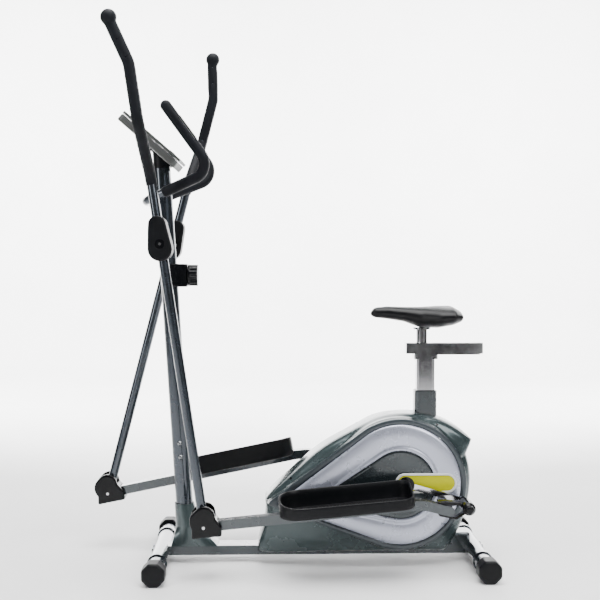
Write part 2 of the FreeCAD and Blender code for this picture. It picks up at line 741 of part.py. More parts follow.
def idler_bracket():
    """Angle plate on the rail that carries the idler's stud."""
    c = idler_centre()
    low = BELT_Y + BELT_HALF + MOVE_GAP
    upright = block((c.x - 12, c.x + 12), (low, low + 4), (RAIL_HIGH, c.z))
    upright = upright.fuse(cross_rod(c.x, c.z, low, low + 4, 12))
    foot = block((c.x - 12, c.x + 12), (low, -8), (RAIL_HIGH, RAIL_HIGH + 4))
    stud = cross_rod(c.x, c.z, BELT_Y - BELT_HALF - MOVE_GAP - 4, low, 5)
    head = cross_rod(c.x, c.z, BELT_Y - BELT_HALF - MOVE_GAP - 4, BELT_Y - BELT_HALF - MOVE_GAP, 9)
    return upright.fuse([foot, stud, head])


def brake_pivot():
    angle = math.radians(20)
    reach = FLYWHEEL_RADIUS + 18
    return V(FLYWHEEL_X + reach * math.cos(angle), 0, FLYWHEEL_Z + reach * math.sin(angle))


def brake_sector(inner, outer, start, end, y_from, y_to):
    """Part of a ring about the flywheel's axis, between two angles up from level."""
    def at(radius, degrees):
        angle = math.radians(degrees)
        return V(FLYWHEEL_X + radius * math.cos(angle), 0, FLYWHEEL_Z + radius * math.sin(angle))

    middle = (start + end) / 2
    edges = [Part.Arc(at(outer, start), at(outer, middle), at(outer, end)).toShape(),
             Part.LineSegment(at(outer, end), at(inner, end)).toShape(),
             Part.Arc(at(inner, end), at(inner, middle), at(inner, start)).toShape(),
             Part.LineSegment(at(inner, start), at(outer, start)).toShape()]
    return plate(Part.Wire(edges), y_from, y_to)


def magnet_bracket():
    """Curved carrier over the flywheel's rim, hinged at its front end."""
    inner = FLYWHEEL_RADIUS + MAGNET_GAP + MAGNET_THICK
    half = FLYWHEEL_THICK / 2 + 2
    band = brake_sector(inner, inner + 4, 20, 110, FLYWHEEL_Y - half, FLYWHEEL_Y + half)
    p = brake_pivot()
    eye = cross_rod(p.x, p.z, FLYWHEEL_Y - half, FLYWHEEL_Y + half, 10)
    return band.fuse(eye).cut(cross_rod(p.x, p.z, -REACH, REACH, 4 + RUN_FIT))


def magnets():
    inner = FLYWHEEL_RADIUS + MAGNET_GAP
    half = FLYWHEEL_THICK / 2
    return group([brake_sector(inner, inner + MAGNET_THICK, start, start + 12, FLYWHEEL_Y - half,
                               FLYWHEEL_Y + half) for start in (34, 52, 70, 88)])


def brake_mount():
    """Post on the rail and the pin that the magnet bracket hinges on."""
    p = brake_pivot()
    half = FLYWHEEL_THICK / 2 + 2 + MOVE_GAP
    low = FLYWHEEL_Y + half
    post = block((p.x - 9, p.x + 9), (low, low + 4), (RAIL_HIGH, p.z))
    post = post.fuse(cross_rod(p.x, p.z, low, low + 4, 9))
    pin = cross_rod(p.x, p.z, FLYWHEEL_Y - half, low, 4)
    foot = block((p.x - 9, p.x + 9), (-10, low + 4), (RAIL_HIGH, RAIL_HIGH + 4))
    return post.fuse([pin, foot])


# ---------------------------------------------------------------- hand levers
def lever_path(start_z):
    """Centre line of a left lever from start_z up to its ball end."""
    points = [V(0, LINK_Y, start_z), V(0, LINK_Y, FLARE_START), V(0, HANDLE_Y, FLARE_END),
              V(0, HANDLE_Y, KNEE_HEIGHT), V(HANDLE_REACH, BALL_Y, HANDLE_TOP)]
    return bent_path(points, LEVER_BEND)


def lever_hub_bore():
    return cross_rod(0, 0, LINK_Y - REACH / 2, LINK_Y + REACH / 2, HUB_RADIUS - BUSH_WALL)


def lever(side):
    """Bent tube with a hub at the pivot and two ears at its foot."""
    foot_z = -LEVER_LENGTH + 34
    path = lever_path(foot_z)
    tube = bent_tube(path, LEVER_RADIUS, TUBE_WALL)
    hub = cross_rod(0, 0, LINK_Y - HUB_HALF, LINK_Y + HUB_HALF, HUB_RADIUS)
    hub = hub.cut(lever_hub_bore())
    tube = tube.cut(cross_rod(0, 0, LINK_Y - HUB_HALF, LINK_Y + HUB_HALF, HUB_RADIUS)).fuse(hub)
    half = EAR_GAP / 2 + EAR_THICK
    bridge = block((-LEVER_RADIUS, LEVER_RADIUS), (LINK_Y - half, LINK_Y + half), (foot_z - 5, foot_z))
    shape = tube.fuse(bridge)
    for y in (LINK_Y - half, LINK_Y + half - EAR_THICK):
        ear = block((-LEVER_RADIUS, LEVER_RADIUS), (y, y + EAR_THICK), (-LEVER_LENGTH, foot_z))
        ear = ear.fuse(cross_rod(0, -LEVER_LENGTH, y, y + EAR_THICK, LEVER_RADIUS))
        shape = shape.fuse(ear)
    shape = shape.cut(cross_rod(0, -LEVER_LENGTH, 0, REACH, JOINT_PIN_RADIUS))
    return on_lever(shape, side)


def lever_fittings(side):
    """Plastic bush in the hub, and the bolt through the ears that the pedal arm's sleeve turns on."""
    bush = ring(0, 0, LINK_Y - HUB_HALF, LINK_Y + HUB_HALF, HUB_RADIUS - BUSH_WALL,
                PIVOT_AXLE_RADIUS + RUN_FIT)
    half = EAR_GAP / 2 + EAR_THICK
    pin = cross_rod(0, -LEVER_LENGTH, LINK_Y - half, LINK_Y + half, JOINT_PIN_RADIUS)
    head = cross_rod(0, -LEVER_LENGTH, LINK_Y + half, LINK_Y + half + 3, 9)
    tail = cross_rod(0, -LEVER_LENGTH, LINK_Y - half - 3, LINK_Y - half, 9)
    return on_lever(group([bush, pin.fuse([head, tail])]), side)


def grip(side):
    """Foam sleeve over the handle with a ball end."""
    path = lever_path(GRIP_START)
    sleeve = round_sweep(path, GRIP_RADIUS).cut(round_sweep(path, LEVER_RADIUS))
    ball = Part.makeSphere(BALL_RADIUS, V(HANDLE_REACH - 2, BALL_Y, HANDLE_TOP))
    sleeve = sleeve.fuse(ball.cut(round_sweep(path, LEVER_RADIUS)))
    return on_lever(sleeve, side)


def upper_boot(side):
    """Moulded cover around the lever's hub, in two halves screwed together."""
    low = LINK_Y - HUB_HALF - 2
    high = LINK_Y + HUB_HALF + 14

    def skin(grow, y_from, y_to):
        outline = loop_outline(V(2, 0, -14), 34 + grow, V(0, 0, 54), 25 + grow)
        return plate(outline, y_from, y_to)

    inner_side = LINK_Y - HUB_HALF - MOVE_GAP
    shell = skin(0, low - 4, high).cut(skin(-3, inner_side, high - 3))
    shell = shell.cut(rod(V(0, LINK_Y, -REACH / 2), V(0, LINK_Y, FLARE_START), LEVER_RADIUS))
    shell = shell.cut(cross_rod(0, 0, 0, inner_side + 1, PIVOT_AXLE_RADIUS + 5 + MOVE_GAP))
    return on_lever(shell, side)


# ---------------------------------------------------------------- pedal arms and pedals
def arm_run(points, half_height, half_width):
    """Rectangular section swept through points of the arm's side view."""
    shape = None
    for (u0, v0), (u1, v1) in zip(points, points[1:]):
        start = V(-u0, 0, v0)
        end = V(-u1, 0, v1)
        up = V(v1 - v0, 0, u1 - u0).normalize() * half_height
        outline = Part.makePolygon([start + up, end + up, end - up, start - up, start + up])
        run = plate(outline, LINK_Y - half_width, LINK_Y + half_width)
        run = run.fuse(cross_rod(-u1, v1, LINK_Y - half_width, LINK_Y + half_width, half_height))
        shape = run if shape is None else shape.fuse(run)
    return shape


def arm_line():
    middle = ARM_PEAK + (ARM_TAIL - ARM_PEAK) * 0.35
    middle_rise = ARM_PEAK_RISE * 0.8
    return [(ARM_START, ARM_START_DROP), (ARM_PEAK, ARM_PEAK_RISE),
            (middle, middle_rise), (ARM_TAIL, ARM_TAIL_DROP)]


def along_arm(shape):
    """Tilts a shape built on a level arm so that it lies along the arm's long straight run."""
    shape = shape.copy()
    rise = math.atan2(ARM_PEAK_RISE - ARM_START_DROP, ARM_PEAK - ARM_START)
    shape.rotate(ORIGIN, SIDE, math.degrees(rise))
    shape.translate(V(-ARM_START, 0, ARM_START_DROP))
    return shape


def pedal_arm(side):
    tube = arm_run(arm_line(), ARM_HALF_HEIGHT, ARM_HALF_WIDTH)
    core = arm_run(arm_line(), ARM_HALF_HEIGHT - TUBE_WALL, ARM_HALF_WIDTH - TUBE_WALL)
    sleeve_half = EAR_GAP / 2 - MOVE_GAP
    sleeve = cross_rod(0, 0, LINK_Y - sleeve_half, LINK_Y + sleeve_half, 15)
    arm = tube.cut(core).fuse(sleeve)
    arm = arm.cut(cross_rod(0, 0, 0, REACH, JOINT_PIN_RADIUS + RUN_FIT))
    return on_arm(arm, side)


def arm_end(side):
    """Fork and cross barrel at the rear of the arm, with the pin that meets the crank."""
    barrel = cross_rod(-ARM_LENGTH, 0, BARREL_IN, BARREL_OUT, BARREL_RADIUS)
    cap = cross_rod(-ARM_LENGTH, 0, BARREL_OUT, BARREL_OUT + 12, 12)
    pin = cross_rod(-ARM_LENGTH, 0, CRANK_BOSS_OUT + 1.0, BARREL_IN, PIN_RADIUS)
    height = ARM_HALF_HEIGHT
    shape = barrel.fuse([cap, pin])
    start = ARM_TAIL - 34
    slope = (ARM_TAIL_DROP - ARM_PEAK_RISE * 0.8) / (ARM_TAIL - ARM_PEAK) / 0.65
    upper = ARM_TAIL_DROP + (start - ARM_TAIL) * slope + height + 1.6
    lower = upper - 2 * height - 3.2
    top_fork = Part.makePolygon([V(-start, 0, upper), V(-ARM_TAIL - 8, 0, 6), V(-ARM_LENGTH, 0, 8),
                                 V(-ARM_LENGTH, 0, 14), V(-start, 0, upper + 6), V(-start, 0, upper)])
    low_fork = Part.makePolygon([V(-start, 0, lower), V(-ARM_TAIL - 16, 0, -28), V(-ARM_LENGTH, 0, -12),
                                 V(-ARM_LENGTH, 0, -17), V(-ARM_TAIL - 16, 0, -34),
                                 V(-start, 0, lower - 6), V(-start, 0, lower)])
    for outline in (top_fork, low_fork):
        fork = plate(outline, LINK_Y - ARM_HALF_WIDTH - 3, LINK_Y + ARM_HALF_WIDTH + 3)
        shape = shape.fuse(fork)
    bolt_u = ARM_TAIL - 14
    shape = shape.fuse(rod(V(-bolt_u, LINK_Y, 8), V(-bolt_u, LINK_Y, 22), 12))
    shape = shape.cut(arm_run(arm_line(), ARM_HALF_HEIGHT, ARM_HALF_WIDTH))
    return on_arm(shape, side)


def lower_boot(side):
    """Moulded cover over the lower joint, fixed to the pedal arm, open on top for the lever."""
    half = EAR_GAP / 2 + EAR_THICK + 8
    y_from = LINK_Y - half
    y_to = LINK_Y + half

    def skin(grow, low, high):
        crown = loop_outline(V(4, 0, 18), 35 + grow, V(-4, 0, 30), 30 + grow)
        skirt = Part.makePolygon([V(30 + grow, 0, 18), V(36 + grow, 0, -30 - grow),
                                  V(-50 - grow, 0, -28 - grow), V(-52 - grow, 0, -2 + grow),
                                  V(-30 - grow, 0, 30), V(30 + grow, 0, 18)])
        return plate(crown, low, high).fuse(plate(skirt, low, high))

    shell = skin(0, y_from, y_to).cut(skin(-3, y_from + 3, y_to - 3))
    mouth = block((-60, 34), (LINK_Y - 20, LINK_Y + 20), (36, 90))
    shell = shell.cut(mouth)
    sweep_room = block((-58, 36), (LINK_Y - LEVER_RADIUS - 3, LINK_Y + LEVER_RADIUS + 3), (26, 90))
    shell = shell.cut(sweep_room)
    shell = shell.cut(arm_run(arm_line(), ARM_HALF_HEIGHT, ARM_HALF_WIDTH))
    return on_arm(shell, side)


def pedal_outline(shrink, low, high):
    """Foot tray seen from above, as a solid between two heights."""
    front = -PEDAL_FRONT - shrink
    back = -PEDAL_FRONT - PEDAL_LENGTH + shrink
    inner = PEDAL_INNER_Y + shrink
    outer = PEDAL_INNER_Y + PEDAL_WIDTH - shrink
    return bar((back, front), (inner, outer), (low, high), PEDAL_CORNER - shrink)


def pedal(side):
    """Foot tray: high wall beside the housing, low wall outside, toe higher than heel."""
    base = ARM_HALF_HEIGHT
    top = base + PEDAL_INNER_HEIGHT
    tray = pedal_outline(0, base - PEDAL_FLOOR, top)
    pocket = pedal_outline(PEDAL_WALL, base + PEDAL_FLOOR, top + 10)
    back = -PEDAL_FRONT - PEDAL_LENGTH
    outer = PEDAL_INNER_Y + PEDAL_WIDTH
    low_rim = base + PEDAL_OUTER_HEIGHT
    slope = Part.makePolygon([V(back - 5, PEDAL_INNER_Y + 26, top + 40), V(back - 5, PEDAL_INNER_Y + 26, top),
                              V(back - 5, PEDAL_INNER_Y + 64, low_rim), V(back - 5, outer + 5, low_rim),
                              V(back - 5, outer + 5, top + 40), V(back - 5, PEDAL_INNER_Y + 26, top + 40)])
    tray = tray.cut(Part.Face(slope).extrude(V(PEDAL_LENGTH + 10, 0, 0)))
    heel = Part.makePolygon([V(back - 5, 0, top - PEDAL_HEEL_LOSS), V(-PEDAL_FRONT, 0, top),
                             V(-PEDAL_FRONT, 0, top + 60), V(back - 5, 0, top + 60),
                             V(back - 5, 0, top - PEDAL_HEEL_LOSS)])
    tray = tray.cut(Part.Face(heel).extrude(V(0, REACH, 0)))
    tray = tray.cut(pocket)
    channel = block((back, -PEDAL_FRONT), (LINK_Y - ARM_HALF_WIDTH, LINK_Y + ARM_HALF_WIDTH),
                    (-ARM_HALF_HEIGHT, ARM_HALF_HEIGHT))
    return on_arm(along_arm(tray.cut(channel)), side)


# ---------------------------------------------------------------- seat
def post_section(grow, low, high):
    half_x = POST_LONG / 2 + grow
    half_y = POST_WIDE / 2 + grow
    return bar((SEAT_X - half_x, SEAT_X + half_x), (-half_y, half_y), (low, high), POST_CORNER + grow)


def seat_sleeve():
    grow = BUSHING_WALL + SLEEVE_WALL
    sleeve = post_section(grow, RAIL_HIGH, SLEEVE_TOP).cut(post_section(BUSHING_WALL, RAIL_HIGH, SLEEVE_TOP))
    pin_z = SLEEVE_TOP - 34
    barrel = cross_rod(SEAT_X, pin_z, -POST_WIDE / 2 - grow - 14, -POST_WIDE / 2 - grow + 1, 11)
    sleeve = sleeve.fuse(barrel)
    return sleeve.cut(cross_rod(SEAT_X, pin_z, -REACH, 0, 6))


def seat_bushing():
    low = SLEEVE_TOP - BUSHING_LENGTH
    high = SLEEVE_TOP + 2
    bushing = post_section(BUSHING_WALL, low, high).cut(post_section(SLIDE_GAP, low, high))
    return bushing.cut(cross_rod(SEAT_X, SLEEVE_TOP - 34, -REACH, 0, 6))


def seat_post():
    """Chromed tube with a row of height holes and the plate under the seat channel."""
    low = POST_TOP - POST_LENGTH
    post = post_section(0, low, POST_TOP).cut(post_section(-TUBE_WALL, low, POST_TOP))
    for i in range(8):
        z = SLEEVE_TOP - 34 - POST_HOLE_PITCH * (i - 3)
        post = post.cut(cross_rod(SEAT_X, z, -REACH, 0, 5))
    half = POST_LONG / 2 + 8
    top_plate = bar((SEAT_X - half, SEAT_X + half), (-CHANNEL_HALF - 3, CHANNEL_HALF + 3),
                    (POST_TOP, POST_TOP + SEAT_PLATE_THICK), 6)
    return post.fuse(top_plate)


def seat_channel():
    low = POST_TOP + SEAT_PLATE_THICK
    x = (CHANNEL_FRONT - CHANNEL_LENGTH, CHANNEL_FRONT)
    channel = block(x, (-CHANNEL_HALF, CHANNEL_HALF), (low, low + CHANNEL_HEIGHT))
    inside = block(x, (-CHANNEL_HALF + 2.5, CHANNEL_HALF - 2.5), (low + 2.5, low + CHANNEL_HEIGHT))
    channel = channel.cut(inside)
    return channel.cut(cross_rod(SEAT_X - 60, low + 13, -REACH, 0, 5))


def seat_carriage():
    """Square tube that slides in the channel, with the saddle's stem welded on top."""
    low = POST_TOP + SEAT_PLATE_THICK + 2.5 + SLIDE_GAP
    half = CHANNEL_HALF - 2.5 - SLIDE_GAP
    x = (CARRIAGE_FRONT - CARRIAGE_LENGTH, CARRIAGE_FRONT)
    body = block(x, (-half, half), (low, CARRIAGE_TOP))
    body = body.cut(block((x[0] + 4, x[1] - 4), (-half + TUBE_WALL, half - TUBE_WALL),
                          (low + TUBE_WALL, CARRIAGE_TOP - TUBE_WALL)))
    stem = rod(V(STEM_X, 0, CARRIAGE_TOP), V(STEM_X, 0, STEM_TOP), STEM_RADIUS)
    stem = stem.cut(rod(V(STEM_X, 0, CARRIAGE_TOP + 2), V(STEM_X, 0, STEM_TOP - 4), STEM_RADIUS - TUBE_WALL))
    clamp = rod(V(STEM_X, 0, STEM_TOP), V(STEM_X, 0, STEM_TOP + 6), STEM_RADIUS + 9.7)
    return body.fuse([stem, clamp])


def saddle():
    """Padded saddle lofted through oval sections from the nose to the tail."""
    stations = ((-251, 741, 5, 10), (-262, 744, 15, 20), (-300, 744, 19, 27), (-350, 739, 22, 36),
                (-400, 730, 31, 55), (-450, 731, 33, 92), (-492, 735, 29, 104), (-515, 733, 18, 84),
                (-523, 731, 8, 50))
    sections = []
    for x, z, half_height, half_width in stations:
        oval = Part.Ellipse(V(x, half_width, z), V(x, 0, z + half_height), V(x, 0, z)).toShape()
        sections.append(Part.Wire(oval))
    body = Part.makeLoft(sections, True, True)
    return body.cut(rod(V(STEM_X, 0, 0), V(STEM_X, 0, STEM_TOP + 6), STEM_RADIUS + 10))


def pop_pin():
    """Spring pin that is pulled outward; its tip stops at the post's side."""
    z = SLEEVE_TOP - 34
    tip = -POST_WIDE / 2 - MOVE_GAP
    seat = -POST_WIDE / 2 - BUSHING_WALL - SLEEVE_WALL - 14 - MOVE_GAP
    pin = cross_rod(SEAT_X, z, seat, tip, 5.5)
    knob = cross_rod(SEAT_X, z, seat - 24, seat, 17)
    rim = [e for e in knob.Edges if e.CenterOfMass.y < seat - 20]
    return knob.makeFillet(4, rim).fuse(pin)


def slide_knob():
    """Clamping screw on the right side of the seat channel."""
    z = POST_TOP + SEAT_PLATE_THICK + 13
    x = SEAT_X - 60
    tip = -CHANNEL_HALF + 2.5 - 0.1
    seat = -CHANNEL_HALF - MOVE_GAP
    screw = cross_rod(x, z, seat, tip, 5 - RUN_FIT)
    knob = cross_rod(x, z, seat - 26, seat, 16)
    for i in range(6):
        angle = math.radians(60 * i)
        knob = knob.cut(cross_rod(x + 19 * math.cos(angle), z + 19 * math.sin(angle), seat - 26, seat - 6, 6))
    return knob.fuse(screw)


# ---------------------------------------------------------------- handlebar and console
def handlebar_path():
    left = [HANDLEBAR_TIP, HANDLEBAR_ELBOW, HANDLEBAR_FRONT]
    right = [V(p.x, -p.y, p.z) for p in reversed(left)]
    return bent_path(left + right, HANDLEBAR_BEND)


def handlebar():
    tube = bent_tube(handlebar_path(), HANDLEBAR_RADIUS, TUBE_WALL)
    z = HANDLEBAR_FRONT.z
    tab = block((mast_x(z), HANDLEBAR_FRONT.x), (-16, 16), (z - 4, z + 4))
    tab = tab.cut(rod(mast_point(z - 90), mast_point(z + 90), MAST_RADIUS))
    return tube.fuse(tab.cut(round_sweep(handlebar_path(), HANDLEBAR_RADIUS - TUBE_WALL)))


def handlebar_grips():
    """Foam sleeves with rounded end caps, from the tips to near the mast."""
    stop = HANDLEBAR_ELBOW + (HANDLEBAR_FRONT - HANDLEBAR_ELBOW) * 0.72
    path = bent_path([HANDLEBAR_TIP, HANDLEBAR_ELBOW, stop], HANDLEBAR_BEND)
    foam = round_sweep(path, FOAM_RADIUS)
    foam = foam.fuse(Part.makeSphere(FOAM_RADIUS, HANDLEBAR_TIP)).cut(round_sweep(path, HANDLEBAR_RADIUS))
    return group([foam, mirrored(foam)])


def pulse_sensors():
    """Curved metal contact plates let into the upper rear side of the grips."""
    run = (HANDLEBAR_ELBOW - HANDLEBAR_TIP).normalize()
    start = HANDLEBAR_TIP + run * 46
    end = HANDLEBAR_TIP + run * 126
    sleeve = rod(start, end, FOAM_RADIUS + 1.5).cut(rod(start, end, FOAM_RADIUS))
    outward = V(run.z, 0, -run.x)
    if outward.z < 0:
        outward = outward * -1
    keep = rod(start + outward * 14, end + outward * 14, 13)
    plate_part = sleeve.common(keep)
    return group([plate_part, mirrored(plate_part)])


def on_console(shape):
    """From a flat console (length along X, face at Z=0) to its place on the mast."""
    shape = shape.copy()
    shape.rotate(ORIGIN, SIDE, -CONSOLE_SLOPE)
    shape.translate(CONSOLE_FOOT)
    return shape


def screen_pocket(grow, low, high):
    start = CONSOLE_LENGTH - 40 - SCREEN_LENGTH
    return block((start - grow, start + SCREEN_LENGTH + grow), (-SCREEN_HALF - grow, SCREEN_HALF + grow),
                 (low, high))


def console_shell():
    """Back half of the console, a shallow tray."""
    shell = bar((0, CONSOLE_LENGTH), (-CONSOLE_HALF, CONSOLE_HALF), (-CONSOLE_THICK, -8), 14)
    shell = shell.cut(bar((2.5, CONSOLE_LENGTH - 2.5), (-CONSOLE_HALF + 2.5, CONSOLE_HALF - 2.5),
                          (-CONSOLE_THICK + 2.5, 0), 11.5))
    return on_console(shell)


def console_face():
    face = bar((0, CONSOLE_LENGTH), (-CONSOLE_HALF, CONSOLE_HALF), (-8, 0), 14)
    face = face.cut(screen_pocket(0, -8, 0))
    for y in (-BUTTON_PITCH, BUTTON_PITCH):
        hole = rod(V(BUTTON_UP, y, -9), V(BUTTON_UP, y, 1), BUTTON_RADIUS + MOVE_GAP / 2)
        face = face.cut(hole)
    return on_console(face)


def console_screen():
    return on_console(screen_pocket(-0.2, -7, -1))


def button(y):
    stem = rod(V(BUTTON_UP, y, -14), V(BUTTON_UP, y, 2.2), BUTTON_RADIUS)
    return on_console(stem)


def console_bracket():
    """Bent plate on the mast's top that carries the console."""
    top = mast_point(MAST_TOP_Z)
    plug = rod(mast_point(MAST_TOP_Z - 50), top, MAST_RADIUS - TUBE_WALL)
    plug = plug.cut(rod(mast_point(MAST_TOP_Z - 50), mast_point(MAST_TOP_Z - 4), MAST_RADIUS - TUBE_WALL - 3))
    wedge = block((20, 150), (-34, 34), (-CONSOLE_THICK - 5, -CONSOLE_THICK))
    neck = rod(top, mast_point(MAST_TOP_Z + 60), MAST_RADIUS - 1)
    under = block((-60, CONSOLE_LENGTH), (-CONSOLE_HALF, CONSOLE_HALF), (-CONSOLE_THICK, 200))
    return plug.fuse(neck).fuse(on_console(wedge)).cut(on_console(under))


# ---------------------------------------------------------------- tension knob
def knob_seat_x():
    return mast_x(KNOB_Z) - MAST_RADIUS - KNOB_NECK


def tension_collar():
    """Black housing of the tension control, saddled on the rear of the mast."""
    low_x = knob_seat_x()
    body = bar((low_x, mast_x(KNOB_Z)), (-28, 28), (KNOB_Z - 34, KNOB_Z + 34), 8)
    body = body.cut(rod(mast_point(KNOB_Z - 90), mast_point(KNOB_Z + 90), MAST_RADIUS))
    body = body.cut(rod(V(low_x, 0, KNOB_Z), V(low_x + 14, 0, KNOB_Z), 6 + RUN_FIT))
    return max(body.Solids, key=lambda solid: solid.Volume)


def tension_knob():
    seat = knob_seat_x() - MOVE_GAP
    knob = rod(V(seat - KNOB_THICK, 0, KNOB_Z), V(seat, 0, KNOB_Z), KNOB_RADIUS)
    for i in range(12):
        angle = math.radians(30 * i)
        y = (KNOB_RADIUS + 2) * math.cos(angle)
        z = KNOB_Z + (KNOB_RADIUS + 2) * math.sin(angle)
        knob = knob.cut(rod(V(seat - KNOB_THICK, y, z), V(seat - 6, y, z), 5))
    return knob.fuse(rod(V(seat, 0, KNOB_Z), V(seat + 12, 0, KNOB_Z), 6))


# ---------------------------------------------------------------- all pieces
def one_sided(name, make):
    """A left and a right node from one function."""
    return {name + "_left": make(LEFT), name + "_right": make(RIGHT)}


def all_pieces():
    pieces = {
        "base_rail": base_rail().fuse(rear_bracket()),
        "front_stabilizer": stabilizer(FRONT_X),
        "rear_stabilizer": stabilizer(REAR_X),
        "end_caps": end_caps(),
        "frame_bolts": frame_bolts(),
        "mast_socket": mast_socket(),
        "mast": mast(),
        "mast_cover": mast_cover(),
        "pivot_axle": pivot_axle(),
        "side_panels": side_panels(),
        "inner_panels": inner_panels(),
        "crank_trims": crank_trims(),
        "housing_screws": housing_screws(),
        "crank_support": crank_support(),
        "crank_bearings": crank_bearings(),
        "crank_axle": crank_axle(),
        "crank_arms": crank_arms(),
        "hub_caps": hub_caps(),
        "drive_pulley": drive_pulley(),
        "drive_belt": belt(),
        "flywheel": flywheel(),
        "drive_mounts": group([flywheel_bracket(), flywheel_axle(), idler_bracket(), brake_mount()]),
        "idler_wheel": idler_wheel(),
        "magnet_bracket": group([magnet_bracket(), magnets()]),
        "seat_sleeve": seat_sleeve(),
        "seat_bushing": seat_bushing(),
        "seat_post": seat_post().fuse(seat_channel()),
        "seat_carriage": seat_carriage(),
        "saddle": saddle(),
        "pop_pin": pop_pin(),
        "slide_knob": slide_knob(),
        "handlebar": handlebar(),
        "handlebar_grips": handlebar_grips(),
        "pulse_sensors": pulse_sensors(),
        "console_shell": console_shell(),
        "console_face": console_face(),
        "console_screen": console_screen(),
        "console_bracket": console_bracket(),
        "button_mode": button(-BUTTON_PITCH),
        "button_reset": button(BUTTON_PITCH),
        "tension_collar": tension_collar(),
        "tension_knob": tension_knob(),
    }
    for name, make in (("housing", housing), ("lever", lever), ("lever_fittings", lever_fittings),
                       ("grip", grip), ("upper_boot", upper_boot), ("pedal_arm", pedal_arm),
                       ("arm_end", arm_end), ("lower_boot", lower_boot), ("pedal", pedal)):
        pieces.update(one_sided(name, make))
    return pieces


os.makedirs("parts", exist_ok=True)
for node, shape in all_pieces().items():
    shape.exportStep("parts/" + node + ".step")
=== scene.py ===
import json
import math

import bmesh
import bpy
from mathutils import Matrix, Vector
from mathutils.bvhtree import BVHTree


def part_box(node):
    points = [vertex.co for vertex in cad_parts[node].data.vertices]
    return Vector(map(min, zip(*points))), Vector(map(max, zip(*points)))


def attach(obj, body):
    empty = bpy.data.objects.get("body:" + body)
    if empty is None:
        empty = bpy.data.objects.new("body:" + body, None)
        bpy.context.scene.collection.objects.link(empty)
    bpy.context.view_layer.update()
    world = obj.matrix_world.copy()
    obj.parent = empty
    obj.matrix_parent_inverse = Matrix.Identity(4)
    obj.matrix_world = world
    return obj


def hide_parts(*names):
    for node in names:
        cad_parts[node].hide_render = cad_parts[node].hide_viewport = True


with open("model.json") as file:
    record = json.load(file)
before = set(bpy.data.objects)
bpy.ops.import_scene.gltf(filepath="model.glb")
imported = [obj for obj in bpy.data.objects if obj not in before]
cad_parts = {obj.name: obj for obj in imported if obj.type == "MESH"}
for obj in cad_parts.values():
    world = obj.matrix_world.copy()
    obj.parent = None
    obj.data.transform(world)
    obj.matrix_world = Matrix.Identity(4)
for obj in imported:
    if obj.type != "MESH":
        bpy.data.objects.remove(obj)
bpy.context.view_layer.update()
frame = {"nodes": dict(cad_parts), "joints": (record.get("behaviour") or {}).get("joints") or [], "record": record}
NODES = frame["nodes"]
JOINTS = {joint["name"]: joint for joint in frame["joints"]}
SIDES = (("left", 1), ("right", -1))


# ---------------------------------------------------------------- camera
CAMERA_PLACE = Vector((0.0564, 3.1568, 0.9170))
CAMERA_YAW = math.radians(1.74)      # turned a little toward the saddle
CAMERA_PITCH = math.radians(2.45)    # looking a little down
CAMERA_LENS = 63.46


def add_camera():
    data = bpy.data.cameras.new("camera")
    data.lens = CAMERA_LENS
    data.sensor_width = 36
    camera = bpy.data.objects.new("camera", data)
    bpy.context.scene.collection.objects.link(camera)
    right = Vector((-1, 0, 0))
    up = Vector((0, 0, 1))
    ahead = Vector((0, -1, 0))
    level = math.cos(CAMERA_YAW) * ahead + math.sin(CAMERA_YAW) * right
    right = math.cos(CAMERA_YAW) * right - math.sin(CAMERA_YAW) * ahead
    look = math.cos(CAMERA_PITCH) * level - math.sin(CAMERA_PITCH) * up
    top = math.cos(CAMERA_PITCH) * up + math.sin(CAMERA_PITCH) * level
    turn = Matrix((right, top, -look)).transposed()
    camera.matrix_world = Matrix.Translation(CAMERA_PLACE) @ turn.to_4x4()
    bpy.context.scene.camera = camera


# ---------------------------------------------------------------- materials
def srgb(r, g, b):
    """Linear colour from 0-255 display values."""
    def linear(v):
        v = v / 255
        return v / 12.92 if v <= 0.04045 else ((v + 0.055) / 1.055) ** 2.4
    return (linear(r), linear(g), linear(b), 1)


DUST = (0.62, 0.62, 0.60, 1)
FLAKE_SCALE = 900.0
MIX_FACTOR = 0           # the colour sockets of a Mix node are reached by number
MIX_FIRST = 6
MIX_SECOND = 7
MIX_RESULT = 2


